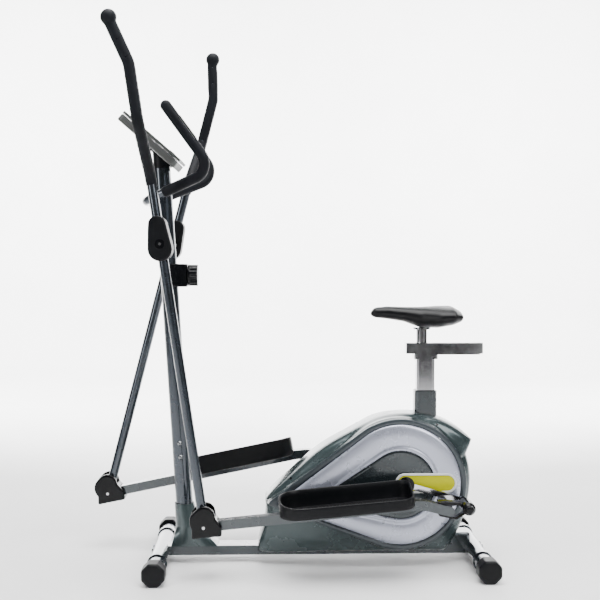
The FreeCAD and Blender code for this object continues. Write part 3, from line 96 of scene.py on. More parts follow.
class Nodes:
    """Short ways to add and join shader nodes in one material."""

    def __init__(self, name):
        self.material = bpy.data.materials.new(name)
        self.material.use_nodes = True
        self.tree = self.material.node_tree
        self.shader = self.tree.nodes["Principled BSDF"]
        self.place = self.add("ShaderNodeTexCoord").outputs["Object"]

    def add(self, kind, **inputs):
        node = self.tree.nodes.new(kind)
        for key, value in inputs.items():
            node.inputs[key.replace("_", " ")].default_value = value
        return node

    def link(self, output, target):
        self.tree.links.new(output, target)

    def noise(self, scale, detail=3.0, roughness=0.55, stretch=None):
        node = self.add("ShaderNodeTexNoise", Scale=scale, Detail=detail, Roughness=roughness)
        where = self.place
        if stretch:
            mapping = self.add("ShaderNodeMapping", Scale=stretch)
            self.link(self.place, mapping.inputs["Vector"])
            where = mapping.outputs["Vector"]
        self.link(where, node.inputs["Vector"])
        return node.outputs["Fac"]

    def spread(self, value, low, high, start=0.3, end=0.7):
        node = self.add("ShaderNodeMapRange", From_Min=start, From_Max=end, To_Min=low, To_Max=high)
        self.link(value, node.inputs["Value"])
        return node.outputs["Result"]

    def blend(self, value, first, second):
        """A colour between two, the first of which may come from another node."""
        node = self.tree.nodes.new("ShaderNodeMix")
        node.data_type = "RGBA"
        if isinstance(first, tuple):
            node.inputs[MIX_FIRST].default_value = first
        else:
            self.link(first, node.inputs[MIX_FIRST])
        node.inputs[MIX_SECOND].default_value = second
        self.link(value, node.inputs[MIX_FACTOR])
        return node.outputs[MIX_RESULT]

    def bump(self, height, strength, distance, below=None):
        node = self.add("ShaderNodeBump", Strength=strength, Distance=distance)
        self.link(height, node.inputs["Height"])
        if below:
            self.link(below, node.inputs["Normal"])
        return node.outputs["Normal"]


def surface(name, dark, light, rough, metallic=0.0, patch=6.0, grain=400.0, grain_depth=0.0002,
            grain_strength=0.2, coat=0.0, coat_rough=0.08, sheen=0.0, specular=0.5, stretch=None,
            peel=0.0):
    """Mottled colour, uneven roughness and a fine grain, with optional clear coat and orange peel."""
    n = Nodes(name)
    colour = n.blend(n.spread(n.noise(patch, 4.0), 0, 1), dark, light)
    n.link(colour, n.shader.inputs["Base Color"])
    smudge = n.noise(patch * 3.3, 5.0, 0.65, stretch)
    n.link(n.spread(smudge, rough[0], rough[1]), n.shader.inputs["Roughness"])
    fine = n.bump(n.noise(grain, 2.0, 0.5, stretch), grain_strength, grain_depth)
    if peel:
        fine = n.bump(n.noise(90.0, 1.0, 0.4), peel, 0.0006, fine)
    n.link(fine, n.shader.inputs["Normal"])
    n.shader.inputs["Metallic"].default_value = metallic
    n.shader.inputs["Coat Weight"].default_value = coat
    n.shader.inputs["Coat Roughness"].default_value = coat_rough
    n.shader.inputs["Sheen Weight"].default_value = sheen
    n.shader.inputs["Specular IOR Level"].default_value = specular
    return n.material


def flake_paint(name, dark, light, rough, metallic=0.75, coat=0.8):
    """Metallic paint under a clear coat: tiny flakes catch the light, with faint dust in patches."""
    n = Nodes(name)
    flakes = n.add("ShaderNodeTexVoronoi", Scale=FLAKE_SCALE)
    n.link(n.place, flakes.inputs["Vector"])
    sparkle = n.spread(flakes.outputs["Distance"], 0.4, 0.6, 0.1, 0.6)
    tone = n.blend(sparkle, dark, light)
    patches = n.spread(n.noise(3.0, 4.0), 0, 0.03)
    n.link(n.blend(patches, tone, DUST), n.shader.inputs["Base Color"])
    n.link(n.spread(n.noise(11.0, 5.0, 0.6), rough[0], rough[1]), n.shader.inputs["Roughness"])
    n.link(n.bump(n.noise(110.0, 1.0, 0.4), 0.04, 0.0001), n.shader.inputs["Normal"])
    n.shader.inputs["Metallic"].default_value = metallic
    n.shader.inputs["Coat Weight"].default_value = coat
    n.shader.inputs["Coat Roughness"].default_value = 0.06
    return n.material


def display_material():
    """Grey-green liquid crystal with faint bars of a generic read-out."""
    n = Nodes("display")
    wave = n.tree.nodes.new("ShaderNodeTexWave")
    wave.inputs["Scale"].default_value = 60.0
    wave.inputs["Distortion"].default_value = 0.0
    n.link(n.place, wave.inputs["Vector"])
    bars = n.spread(wave.outputs["Fac"], 0, 0.35, 0.55, 0.6)
    n.link(n.blend(bars, srgb(128, 142, 128), srgb(84, 96, 86)), n.shader.inputs["Base Color"])
    n.link(n.spread(n.noise(30.0), 0.12, 0.22), n.shader.inputs["Roughness"])
    n.shader.inputs["Coat Weight"].default_value = 1.0
    return n.material


def all_materials():
    m = {}
    m["frame_paint"] = flake_paint("frame_paint", srgb(26, 31, 34), srgb(66, 73, 77), (0.22, 0.34), 0.8)
    m["mast_paint"] = flake_paint("mast_paint", srgb(22, 28, 34), srgb(64, 72, 82), (0.2, 0.32), 0.85)
    m["housing_plastic"] = flake_paint("housing_plastic", srgb(30, 42, 44), srgb(62, 76, 78),
                                       (0.22, 0.32), 0.5, 0.35)
    m["border_plastic"] = flake_paint("border_plastic", srgb(32, 40, 44), srgb(58, 66, 72),
                                      (0.3, 0.4), 0.5, 0.4)
    m["silver_plastic"] = flake_paint("silver_plastic", srgb(158, 162, 178), srgb(182, 186, 200),
                                      (0.24, 0.32), 0.6, 0.5)
    m["drop_plastic"] = flake_paint("drop_plastic", srgb(20, 27, 31), srgb(40, 50, 54), (0.22, 0.32),
                                    0.5, 0.6)
    m["chrome"] = surface("chrome", (0.52, 0.52, 0.54, 1), (0.66, 0.66, 0.68, 1), (0.06, 0.14), 1.0,
                          patch=9.0, grain=700.0, grain_depth=0.00004, grain_strength=0.06)
    m["dark_chrome"] = surface("dark_chrome", (0.16, 0.17, 0.18, 1), (0.26, 0.27, 0.28, 1), (0.1, 0.2),
                               1.0, patch=9.0, grain=700.0, grain_depth=0.00004, grain_strength=0.06)
    m["steel"] = surface("steel", (0.30, 0.30, 0.31, 1), (0.44, 0.44, 0.44, 1), (0.26, 0.4), 1.0,
                         grain=500.0, stretch=(1, 1, 12))
    m["cast_iron"] = surface("cast_iron", (0.10, 0.10, 0.105, 1), (0.18, 0.18, 0.18, 1), (0.35, 0.6),
                             0.9, grain=260.0, grain_strength=0.4)
    m["black_plastic"] = surface("black_plastic", srgb(4, 5, 7), srgb(10, 11, 14), (0.14, 0.26),
                                 grain=500.0, grain_strength=0.05, coat=0.04, peel=0.04, specular=0.18)
    m["matt_plastic"] = surface("matt_plastic", srgb(5, 6, 8), srgb(13, 14, 17), (0.36, 0.5),
                                grain=900.0, grain_depth=0.0002, grain_strength=0.3, specular=0.16)
    m["foam"] = surface("foam", srgb(4, 6, 11), srgb(12, 15, 22), (0.5, 0.66), grain=1400.0,
                        grain_depth=0.0004, grain_strength=0.5, sheen=0.02, specular=0.14)
    m["rubber"] = surface("rubber", srgb(5, 5, 6), srgb(12, 12, 13), (0.45, 0.62), grain=700.0,
                          grain_strength=0.4, specular=0.14)
    m["saddle_cover"] = surface("saddle_cover", srgb(3, 3, 5), srgb(9, 9, 12), (0.32, 0.44),
                                grain=650.0, grain_depth=0.0004, grain_strength=0.3, sheen=0.02,
                                specular=0.2)
    m["console_plastic"] = flake_paint("console_plastic", srgb(50, 51, 51), srgb(84, 86, 85),
                                       (0.36, 0.48), 0.4, 0.2)
    m["button_plastic"] = surface("button_plastic", srgb(150, 152, 156), srgb(178, 180, 184),
                                  (0.35, 0.5), grain_strength=0.1)
    m["yellow_plastic"] = surface("yellow_plastic", (0.42, 0.43, 0, 1), (0.5, 0.5, 0, 1),
                                  (0.2, 0.3), patch=9.0, grain_strength=0.03, coat=0.0, specular=0.12)
    m["pale_plastic"] = surface("pale_plastic", srgb(196, 198, 196), srgb(218, 220, 218), (0.2, 0.3),
                                grain_strength=0.03, coat=0.2)
    m["screen_glass"] = display_material()
    return m


MATERIALS = all_materials()

# nodes whose finish differs in the picture from the rest of their slot
LOOKS = {"front_stabilizer": "mast_paint", "rear_stabilizer": "mast_paint", "mast_cover": "housing_plastic",
         "frame_bolts": "dark_chrome", "seat_sleeve": "frame_paint"}


def dress_nodes():
    """Gives every CAD node the material of its slot, or its own look."""
    for entry in frame["record"]["subparts"]:
        node = NODES[entry["node"]]
        node.data.materials.clear()
        look = LOOKS.get(entry["node"], entry["material_slot"])
        node.data.materials.append(MATERIALS[look])


# ---------------------------------------------------------------- mesh helpers
WELD_DISTANCE = 0.00005


def add_piece(name, mesh, material, body, smooth=35):
    piece = bpy.data.objects.new(name, mesh)
    bpy.context.scene.collection.objects.link(piece)
    mesh.materials.clear()
    mesh.materials.append(MATERIALS[material])
    mesh.shade_smooth()
    if smooth:
        mesh.set_sharp_from_angle(angle=math.radians(smooth))
    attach(piece, body)
    return piece


def mesh_from(bm, name):
    mesh = bpy.data.meshes.new(name)
    bm.to_mesh(mesh)
    bm.free()
    return mesh


def lofted(name, rings, closed_ends=(True, True)):
    """Skin over rings that all have the same number of points."""
    bm = bmesh.new()
    rows = [[bm.verts.new(p) for p in ring] for ring in rings]
    count = len(rows[0])
    for near, far in zip(rows, rows[1:]):
        for i in range(count):
            j = (i + 1) % count
            bm.faces.new((near[i], near[j], far[j], far[i]))
    if closed_ends[0]:
        bm.faces.new(list(reversed(rows[0])))
    if closed_ends[1]:
        bm.faces.new(rows[-1])
    bmesh.ops.recalc_face_normals(bm, faces=bm.faces)
    return mesh_from(bm, name)


def rounded(node, voxel, passes, material, body):
    """Moulded look: a copy of the node with every edge softened, which stands for it."""
    piece = add_piece(node + "_skin", NODES[node].data.copy(), material, body, smooth=None)
    weld = piece.modifiers.new("weld", "WELD")
    weld.merge_threshold = WELD_DISTANCE
    remesh = piece.modifiers.new("remesh", "REMESH")
    remesh.mode = "VOXEL"
    remesh.voxel_size = voxel
    soften = piece.modifiers.new("smooth", "SMOOTH")
    soften.factor = 0.5
    soften.iterations = passes
    bpy.context.view_layer.update()
    graph = bpy.context.evaluated_depsgraph_get()
    result = bpy.data.meshes.new_from_object(piece.evaluated_get(graph))
    piece.modifiers.clear()
    piece.data = result
    piece.data.shade_smooth()
    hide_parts(node)
    return piece


def skin_tree(mesh):
    return BVHTree.FromPolygons([v.co for v in mesh.vertices], [p.vertices for p in mesh.polygons])


def toward(axis):
    """Turns a piece's own Z to a direction."""
    return axis.to_track_quat("Z", "Y").to_matrix().to_4x4()


# ---------------------------------------------------------------- housing
CRANK = Vector(JOINTS["crank_turn"]["pos_m"])
BULGE = CRANK + Vector((0.012, 0, -0.005))    # middle of the round side
RAYS = 360
RAY_START = 1.0          # outside every outline
BORDER_GAP = 0.0025      # least step between the rounded skin and the border
EASE_PER_METRE = 600     # how many rays either side are averaged, for each metre drawn in

# (drawn in from the skyline, out from the middle plane)
SHELL_ROUND = ((0.0010, 0.042), (0.0035, 0.052), (0.0080, 0.060), (0.0140, 0.0655), (0.0200, 0.0685))
# (share of the way from the border to the skin, out from the middle plane)
SHELL_SLOPE = ((0.5, 0.0705), (0.15, 0.0735))
# (beyond the border, out from the middle plane)
SHELL_STEP = ((0.0012, 0.0765), (0, 0.0800), (-0.0004, 0.0870))
BORDER_OUTER = ((-0.0004, 0.0860), (-0.0010, 0.0890), (-0.0030, 0.0902))
# (beyond the silver panel, out from the middle plane)
BORDER_INNER = ((0.0030, 0.0902), (0.0012, 0.0892), (0.0006, 0.0870))
PANEL_EDGE = ((-0.0003, 0.0870), (-0.0003, 0.0905), (-0.0020, 0.0922))
# (beyond the recess, out from the middle plane)
PANEL_LIP = ((0.0120, 0.0938), (0.0105, 0.0950), (0.0040, 0.0956), (0.0008, 0.0945), (-0.0004, 0.0880))
PANEL_STEPS = 10
CROWN_BASE = 0.0922
CROWN_RISE = 0.0046
LIP_WIDTH = 0.012
# (share of the recess's radius, out from the middle plane)
RECESS_DISH = ((1.0, 0.0890), (0.97, 0.0910), (0.9, 0.0900), (0.7, 0.0890), (0.5, 0.0886),
               (0.3, 0.0884), (0.17, 0.0884))


def outline_radius(node, y):
    """Distance from the middle of the round side to the node's outermost skin, all round."""
    tree = skin_tree(NODES[node].data)
    radii = []
    for i in range(RAYS):
        angle = math.tau * i / RAYS
        outward = Vector((math.cos(angle), 0, math.sin(angle)))
        start = BULGE + RAY_START * outward + Vector((0, y, 0))
        radii.append(RAY_START - tree.ray_cast(start, -outward)[3])
    return radii


def polar_ring(radii, y, side):
    ring = []
    for i, radius in enumerate(radii):
        angle = math.tau * i / RAYS
        ring.append((BULGE.x + radius * math.cos(angle), side * y, BULGE.z + radius * math.sin(angle)))
    return ring


def offset_rings(radii, steps, side):
    """One ring for each (distance beyond the outline, distance from the middle plane)."""
    return [polar_ring([r + beyond for r in radii], y, side) for beyond, y in steps]


def drawn_in(skyline, border, depth):
    """The skyline drawn in, with its corners eased, and kept outside the border."""
    reach = int(depth * EASE_PER_METRE)
    span = range(-reach, reach + 1)
    radii = []
    for i, (s, b) in enumerate(zip(skyline, border)):
        eased = sum(skyline[(i + k) % RAYS] for k in span) / len(span)
        radii.append(max(b + BORDER_GAP, min(s, eased) - depth))
    return radii


def shell_half(side_name, side, skyline, border, panel):
    """Rounded body that steps up to the border of the silver panel."""
    rings = [polar_ring(skyline, 0.0, side), polar_ring(skyline, 0.030, side)]
    for depth, y in SHELL_ROUND:
        edge = drawn_in(skyline, border, depth)
        rings.append(polar_ring(edge, y, side))
    for share, y in SHELL_SLOPE:
        slope = [b + 0.002 + (e - b - 0.002) * share for e, b in zip(edge, border)]
        rings.append(polar_ring(slope, y, side))
    rings += offset_rings(border, SHELL_STEP, side)
    mesh = lofted("housing_skin_" + side_name, rings, (False, False))
    piece = add_piece("housing_skin_" + side_name, mesh, "housing_plastic", "frame", smooth=50)
    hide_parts("housing_" + side_name)
    rings = offset_rings(border, BORDER_OUTER, side) + offset_rings(panel, BORDER_INNER, side)
    mesh = lofted("housing_border_" + side_name, rings, (False, False))
    add_piece("housing_border_" + side_name, mesh, "border_plastic", "frame", 50)
    return skin_tree(piece.data)


def crowned_panel(side_name, side, panel, drop):
    """Silver teardrop, crowned between its outer edge and a raised lip round the recess."""
    rings = offset_rings(panel, PANEL_EDGE, side)
    for k in range(1, PANEL_STEPS):
        share = k / PANEL_STEPS
        height = CROWN_BASE + CROWN_RISE * math.sin(math.pi * (0.10 + 0.80 * share))
        between = [p + (d + LIP_WIDTH - p) * share for p, d in zip(panel, drop)]
        rings.append(polar_ring(between, height, side))
    rings += offset_rings(drop, PANEL_LIP, side)
    mesh = lofted("silver_panel_" + side_name, rings, (False, False))
    return add_piece("silver_panel_" + side_name, mesh, "silver_plastic", "frame", smooth=60)


def recess_panel(side_name, side, drop):
    """Dark dished teardrop inside the silver panel."""
    rings = [polar_ring([d * share for d in drop], y, side) for share, y in RECESS_DISH]
    mesh = lofted("recess_panel_" + side_name, rings, (False, True))
    return add_piece("recess_panel_" + side_name, mesh, "drop_plastic", "frame", smooth=60)


def housing():
    skyline = outline_radius("housing_left", 0.040)
    border = outline_radius("housing_left", 0.080)
    panel = outline_radius("side_panels", 0.0925)
    drop = outline_radius("inner_panels", 0.0915)
    shells = {}
    panels = []
    recesses = []
    for side_name, side in SIDES:
        shells[side] = shell_half(side_name, side, skyline, border, panel)
        panels.append(crowned_panel(side_name, side, panel, drop))
        recesses.append(recess_panel(side_name, side, drop))
    for piece in panels:
        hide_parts("side_panels")
    for piece in recesses:
        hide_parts("inner_panels")
    seated_screws(shells)


SCREW_APART = 0.012      # mesh points nearer than this belong to one screw
SCREW_TRIES = 30
SCREW_STEP = 0.012       # share of the way to the middle of the round side, each try
SCREW_FACING = 0.45      # how far the skin must face sideways to take a screw


def seat_on(tree, spot, side):
    """Where a screw sits: the nearest place inward whose skin faces sideways enough."""
    middle = Vector((BULGE.x, spot.y, BULGE.z))
    for step in range(SCREW_TRIES):
        probe = spot.lerp(middle, step * SCREW_STEP)
        probe.y = side * 0.12
        hit, normal = tree.ray_cast(probe, Vector((0, -side, 0)))[:2]
        if hit and abs(normal.y) > SCREW_FACING:
            break
    return hit, normal


def seated_screws(shells):
    """Small dark countersunk screws on the rounded shell."""
    spots = []
    for v in NODES["housing_screws"].data.vertices:
        if not any((v.co - spot).length < SCREW_APART for spot in spots):
            spots.append(v.co.copy())
    bm = bmesh.new()
    for spot in spots:
        side = 1 if spot.y > 0 else -1
        hit, normal = seat_on(shells[side], spot, side)
        if not hit:
            continue
        outward = normal if normal.y * side > 0 else -normal
        bmesh.ops.create_cone(bm, cap_ends=True, segments=20, radius1=0.0044, radius2=0.0034, depth=0.0016,
                              matrix=Matrix.Translation(hit) @ toward(outward))
    screws = add_piece("shell_screws", mesh_from(bm, "shell_screws"), "black_plastic", "frame", smooth=30)
    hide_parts("housing_screws")


# (drawn in from the outline, out from the middle plane)
TRIM_RIM = ((0, 0.0905), (0, 0.0975), (0.0012, 0.0990), (0.0052, 0.0990), (0.0062, 0.0978), (0.0064, 0.0955))
TRIM_FACE = ((0.0062, 0.0950), (0.0064, 0.0972), (0.0080, 0.0976))
TRIM_POINTS = 40         # on each rounded end


def oval(far_x, radius, y):
    """Oblong round the crank's axis, with its other end's middle at far_x."""
    points = []
    for centre_x, start in ((CRANK.x, -90), (far_x, 90)):
        for k in range(TRIM_POINTS):
            angle = math.radians(start + 180 * k / (TRIM_POINTS - 1))
            points.append((centre_x + radius * math.cos(angle), y, CRANK.z + radius * math.sin(angle)))
    return points


def crank_trim():
    """Yellow-green plate with a pale raised rim, from the hub rearward."""
    low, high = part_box("crank_trims")
    radius = (high.z - low.z) / 2
    far_x = low.x + radius
    pieces = []
    for side_name, side in SIDES:
        rim = [oval(far_x, radius - shrink, side * y) for shrink, y in TRIM_RIM]
        mesh = lofted("trim_rim_" + side_name, rim, (False, False))
        pieces.append(add_piece("trim_rim_" + side_name, mesh, "pale_plastic", "frame", 50))
        face = [oval(far_x, radius - shrink, side * y) for shrink, y in TRIM_FACE]
        mesh = lofted("trim_face_" + side_name, face)
        pieces.append(add_piece("trim_face_" + side_name, mesh, "yellow_plastic", "frame", smooth=50))
    for piece in pieces:
        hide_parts("crank_trims")


# ---------------------------------------------------------------- saddle and grips
def saddle():
    """Padded cover: the CAD saddle with its flat facets drawn smooth."""
    cover = rounded("saddle", 0.0035, 9, "saddle_cover", "seat")


def foam_grips():
    """Foam sleeves with softened ends."""
    grips = {"handlebar_grips": "frame", "grip_left": "lever_left", "grip_right": "lever_right"}
    for node, body in grips.items():
        sleeve = rounded(node, 0.0026, 6, "foam", body)


# ---------------------------------------------------------------- moulded and machined pieces
def moulded_pieces():
    rounded("tension_collar", 0.0022, 6, "black_plastic", "frame")
    rounded("tension_knob", 0.0014, 4, "black_plastic", "tension_knob")
    rounded("end_caps", 0.0028, 8, "matt_plastic", "frame")
    rounded("console_shell", 0.0030, 8, "console_plastic", "frame")
    for side_name, _ in SIDES:
        rounded("upper_boot_" + side_name, 0.0024, 8, "matt_plastic", "lever_" + side_name)
        rounded("lower_boot_" + side_name, 0.0030, 10, "black_plastic", "pedal_" + side_name)
        rounded("arm_end_" + side_name, 0.0030, 10, "black_plastic", "pedal_" + side_name)


UPPER_CAP = 0.0150       # radius of the raised ring on a boot
LOWER_CAP = 0.0165
CAP_SINK = 0.0016        # how deep the middle of a cap lies under the boot's face
CAP_TAPER = 0.0016


def face_cones(name, faces, centre, cones, segments):
    """Short tapered discs on two opposite faces: each cone is (radius, taper, depth, sink)."""
    bm = bmesh.new()
    for y, way in faces:
        turn = toward(Vector((0, way, 0)))
        for radius, taper, depth, sink in cones:
            place = Matrix.Translation((centre.x, y - way * sink, centre.z)) @ turn
            bmesh.ops.create_cone(bm, cap_ends=True, segments=segments, radius1=radius,
                                  radius2=radius - taper, depth=depth, matrix=place)
    return mesh_from(bm, name)


def joint_caps():
    """Raised ring, dished cap and bolt on the outer and inner face of every boot."""
    for side_name, _ in SIDES:
        lever = Vector(JOINTS["lever_%s_swing" % side_name]["pos_m"])
        foot = Vector(JOINTS["pedal_%s_pivot" % side_name]["pos_m"])
        for node, centre, body, radius in (("upper_boot_", lever, "lever_", UPPER_CAP),
                                           ("lower_boot_", foot, "pedal_", LOWER_CAP)):
            low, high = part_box(node + side_name)
            faces = ((low.y, -1), (high.y, 1))
            name = node + "caps_" + side_name
            cones = ((radius, CAP_TAPER, 0.0030, CAP_SINK), (radius * 0.72, CAP_TAPER, 0.0040, CAP_SINK))
            mesh = face_cones(name, faces, centre, cones, 36)
            add_piece(name, mesh, "black_plastic", body + side_name, 30)
            name = node + "bolts_" + side_name
            mesh = face_cones(name, faces, centre, ((0.0052, 0.0006, 0.0026, 0.0002),), 6)
            add_piece(name, mesh, "chrome", body + side_name, smooth=20)


TRAY_FLOOR = 0.008
TRAY_TOE = 0.066         # corner radius at the toe
TRAY_HEEL = 0.040
TRAY_LOW_WALL = 0.52     # outer wall's share of the inner wall's height
TRAY_TOE_RISE = 0.006
CORNER_POINTS = 14
STUD_PITCH = 0.011       # along the tray
STUD_SPACING = 0.0118    # across the tray
STUD_HEIGHT = 0.0016
STUD_FOOT = ((-0.004, -0.003), (0.004, -0.003), (0.004, 0.003), (-0.004, 0.003))
STUD_TOP = ((-0.003, -0.002), (0.003, -0.002), (0.003, 0.002), (-0.003, 0.002))
STUD_FACES = ((4, 5, 6, 7), (0, 1, 5, 4), (1, 2, 6, 5), (2, 3, 7, 6), (3, 0, 4, 7))


def tray_slope(points):
    """Angle of a foot tray's underside, from its lowest points at the heel and the toe."""
    reach = 0.012
    rear = min(p.x for p in points)
    fore = max(p.x for p in points)
    low_rear = min((p for p in points if p.x < rear + reach), key=lambda p: p.z)
    low_fore = min((p for p in points if p.x > fore - reach), key=lambda p: p.z)
    return math.atan2(low_fore.z - low_rear.z, low_fore.x - low_rear.x)


class Tray:
    """A foot tray's own frame: u from heel to toe, v outward from its middle, h up from its underside."""

    def __init__(self, side_name, side):
        points = [v.co for v in NODES["pedal_" + side_name].data.vertices]
        slope = tray_slope(points)
        self.side = side
        self.along = Vector((math.cos(slope), 0, math.sin(slope)))
        self.above = Vector((-math.sin(slope), 0, math.cos(slope)))
        starts = [p.dot(self.along) for p in points]
        ups = [p.dot(self.above) for p in points]
        outs = [side * p.y for p in points]
        self.start = min(starts)
        self.low = min(ups)
        self.length = max(starts) - min(starts)
        self.width = max(outs) - min(outs)
        self.height = max(ups) - min(ups)
        self.middle = (max(outs) + min(outs)) / 2

    def place(self, u, v, h):
        spot = self.along * (u + self.start) + self.above * (h + self.low)
        return (spot.x, self.side * (self.middle + v), spot.z)

    def wall_top(self, u, v):
        """Height of the rim: high along the inner wall, low outside, a little higher at the toe."""
        low_wall = self.height * TRAY_LOW_WALL
        high_wall = self.height - 0.001
        inward = min(max(0.5 - v / self.width, 0), 1)
        rise = inward * inward * (3 - 2 * inward)
        toe_rise = TRAY_TOE_RISE * max(0, (u / self.length - 0.75) / 0.25)
        return min(low_wall + (high_wall - low_wall) * rise + toe_rise, high_wall)

    def outline(self, inset):
        """Oblong from heel to toe, with a larger round at the toe."""
        points = []
        corners = ((self.length - TRAY_TOE, -1, TRAY_TOE, 270), (self.length - TRAY_TOE, 1, TRAY_TOE, 0),
                   (TRAY_HEEL, 1, TRAY_HEEL, 90), (TRAY_HEEL, -1, TRAY_HEEL, 180))
        for centre_u, side, radius, start in corners:
            centre_v = side * (self.width / 2 - radius)
            for k in range(CORNER_POINTS):
                angle = math.radians(start + 90 * k / (CORNER_POINTS - 1))
                points.append((centre_u + (radius - inset) * math.cos(angle),
                               centre_v + (radius - inset) * math.sin(angle)))
        return points

    def flat_row(self, inset, h):
        return [self.place(u, v, h) for u, v in self.outline(inset)]

    def rim_row(self, inset, below):
        return [self.place(u, v, self.wall_top(u, v) - below) for u, v in self.outline(inset)]

    def wall_row(self, inset, base, share, below):
        """A row part of the way from a base height to just below the rim."""
        return [self.place(u, v, base + (self.wall_top(u, v) - below - base) * share)
                for u, v in self.outline(inset)]


def tray_rows(tray):
    """Rows from the underside, up the outside, over the rolled rim and down to the tread."""
    rows = [tray.flat_row(0.012, 0.0004), tray.flat_row(0.004, 0.0004), tray.flat_row(0.001, 0.003)]
    for share in (0.3, 0.6, 0.85):
        rows.append(tray.wall_row(0.0008 - 0.0008 * share, 0.003, share, 0.002))
    for inset, below in ((0.0003, 0.0012), (0.0018, 0), (0.0045, 0), (0.0062, 0.0015)):
        rows.append(tray.rim_row(inset, below))
    for share in (0.8, 0.5, 0.25):
        rows.append(tray.wall_row(0.0068, TRAY_FLOOR, share, 0.002))
    rows += [tray.flat_row(0.0082, TRAY_FLOOR + 0.0015), tray.flat_row(0.011, TRAY_FLOOR)]
    return rows


def tread_studs(tray, name):
    """Rows of low tapered studs on the tray's floor."""
    bm = bmesh.new()
    for i in range(int((tray.length - 0.10) / STUD_PITCH)):
        u = 0.045 + STUD_PITCH * i
        reach = tray.width / 2 - 0.020 - max(0, (u - (tray.length - 0.075)) * 0.4)
        for j in range(-4, 5):
            v = j * STUD_SPACING
            if abs(v) > reach:
                continue
            corners = []
            for points, h in ((STUD_FOOT, TRAY_FLOOR), (STUD_TOP, TRAY_FLOOR + STUD_HEIGHT)):
                corners += [bm.verts.new(tray.place(u + du, v + dv, h)) for du, dv in points]
            for face in STUD_FACES:
                bm.faces.new([corners[c] for c in face])
    bmesh.ops.recalc_face_normals(bm, faces=bm.faces)
    return mesh_from(bm, name)


def pedal(side_name, side):
    """Moulded foot tray: high inner wall, low outer wall, rolled rim and a studded tread."""
    frame_of_tray = Tray(side_name, side)
    body = "pedal_" + side_name
    mesh = lofted("tray_" + side_name, tray_rows(frame_of_tray))
    tray = add_piece("tray_" + side_name, mesh, "matt_plastic", body, smooth=50)
    mesh = tread_studs(frame_of_tray, "tread_" + side_name)
    studs = add_piece("tread_" + side_name, mesh, "rubber", body, 20)
    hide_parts(body)
    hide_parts(body)


# ---------------------------------------------------------------- floor
FLOOR_NEAR = 14.0
FLOOR_FAR = 6.0
FLOOR_HALF = 16.0
FLOOR_CURVE = 1.5
FLOOR_STEPS = 12
BACKDROP_TOP = 6.0


def floor():
    """Pale studio floor that curves up behind the object."""
    profile = [(FLOOR_NEAR, 0.0)]
    for k in range(FLOOR_STEPS + 1):
        angle = math.radians(90 * k / FLOOR_STEPS)
        profile.append((FLOOR_CURVE - FLOOR_FAR - FLOOR_CURVE * math.sin(angle),
                        FLOOR_CURVE - FLOOR_CURVE * math.cos(angle)))
    profile.append((-FLOOR_FAR, BACKDROP_TOP))
    bm = bmesh.new()
    left, right = [[bm.verts.new((x, y, z)) for y, z in profile] for x in (-FLOOR_HALF, FLOOR_HALF)]
    for i in range(len(profile) - 1):
        bm.faces.new((left[i], right[i], right[i + 1], left[i + 1]))
    mesh = mesh_from(bm, "floor")
    mesh.shade_smooth()
    sweep = bpy.data.objects.new("floor", mesh)
    bpy.context.scene.collection.objects.link(sweep)
    n = Nodes("floor")
    n.link(n.blend(n.spread(n.noise(2.0), 0, 1), (0.80, 0.80, 0.80, 1), (0.84, 0.84, 0.84, 1)),
           n.shader.inputs["Base Color"])
    n.link(n.spread(n.noise(5.0), 0.55, 0.65), n.shader.inputs["Roughness"])
    n.link(n.bump(n.noise(300.0), 0.05, 0.0004), n.shader.inputs["Normal"])
    mesh.materials.append(n.material)


# ---------------------------------------------------------------- lights
def facing(place, target):
    way = Vector(target) - Vector(place)
    return Matrix.Translation(place) @ way.to_track_quat("-Z", "Y").to_matrix().to_4x4()


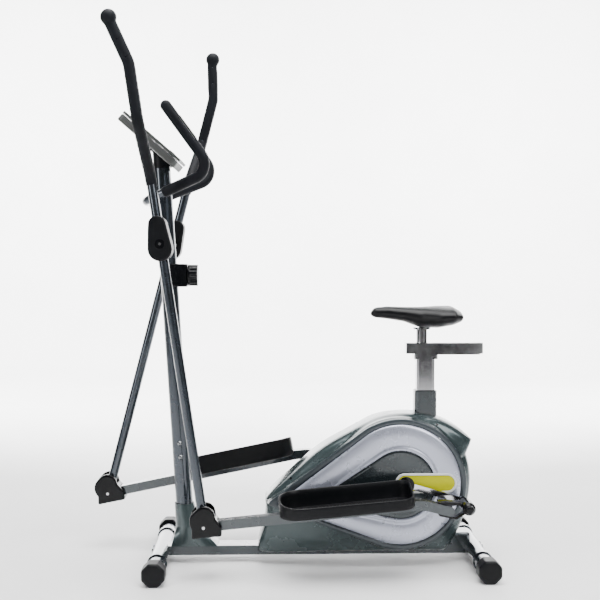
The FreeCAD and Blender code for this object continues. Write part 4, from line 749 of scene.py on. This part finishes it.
def soft_box(name, place, target, width, height, power):
    data = bpy.data.lights.new(name, "AREA")
    data.shape = "RECTANGLE"
    data.size = width
    data.size_y = height
    data.energy = power
    lamp = bpy.data.objects.new(name, data)
    bpy.context.scene.collection.objects.link(lamp)
    lamp.matrix_world = facing(place, target)


def dark_card(name, place, target, width, height):
    """Black screen beside the lights, for dark reflections in the chrome and the paint."""
    mesh = bpy.data.meshes.new(name)
    corners = [(x * width / 2, y * height / 2, 0) for x, y in ((-1, -1), (1, -1), (1, 1), (-1, 1))]
    mesh.from_pydata(corners, [], [(0, 1, 2, 3)])
    mesh.materials.append(surface(name, (0.012, 0.012, 0.013, 1), (0.02, 0.02, 0.02, 1), (0.8, 0.9)))
    card = bpy.data.objects.new(name, mesh)
    bpy.context.scene.collection.objects.link(card)
    card.matrix_world = facing(place, target)
    card.visible_camera = False


def studio():
    middle = (-0.1, 0.0, 0.7)
    back_wall = -FLOOR_FAR
    soft_box("key", (-2.4, 3.2, 3.0), middle, 1.8, 2.4, 150)
    soft_box("fill", (3.4, 2.4, 1.7), middle, 0.7, 2.6, 70)
    soft_box("top", (0.0, 0.2, 4.2), middle, 3.4, 3.4, 420)
    soft_box("rim", (-2.8, -2.2, 2.4), middle, 1.6, 1.6, 60)
    for side in (-1, 1):
        soft_box("backdrop_light", (side * 2.6, -2.6, 2.6), (side * 1.2, back_wall, 1.6), 3.0, 2.4, 850)
    dark_card("card_behind_camera", (0.0, 4.6, 2.4), middle, 3.0, 1.6)
    dark_card("card_low", (-0.3, 4.3, 0.22), (-0.4, 0.0, 0.45), 2.2, 0.36)
    dark_card("card_left", (4.6, 0.6, 1.3), middle, 2.4, 2.2)
    dark_card("card_right", (-4.6, 0.4, 1.3), middle, 2.4, 2.2)
    world = bpy.data.worlds.new("studio")
    world.use_nodes = True
    sky = world.node_tree.nodes["Background"]
    sky.inputs["Color"].default_value = (1.0, 1.0, 1.0, 1)
    sky.inputs["Strength"].default_value = 0.13
    bpy.context.scene.world = world


# ---------------------------------------------------------------- the scene
dress_nodes()
housing()
crank_trim()
saddle()
foam_grips()
moulded_pieces()
joint_caps()
for name, sign in SIDES:
    pedal(name, sign)
floor()
studio()
add_camera()
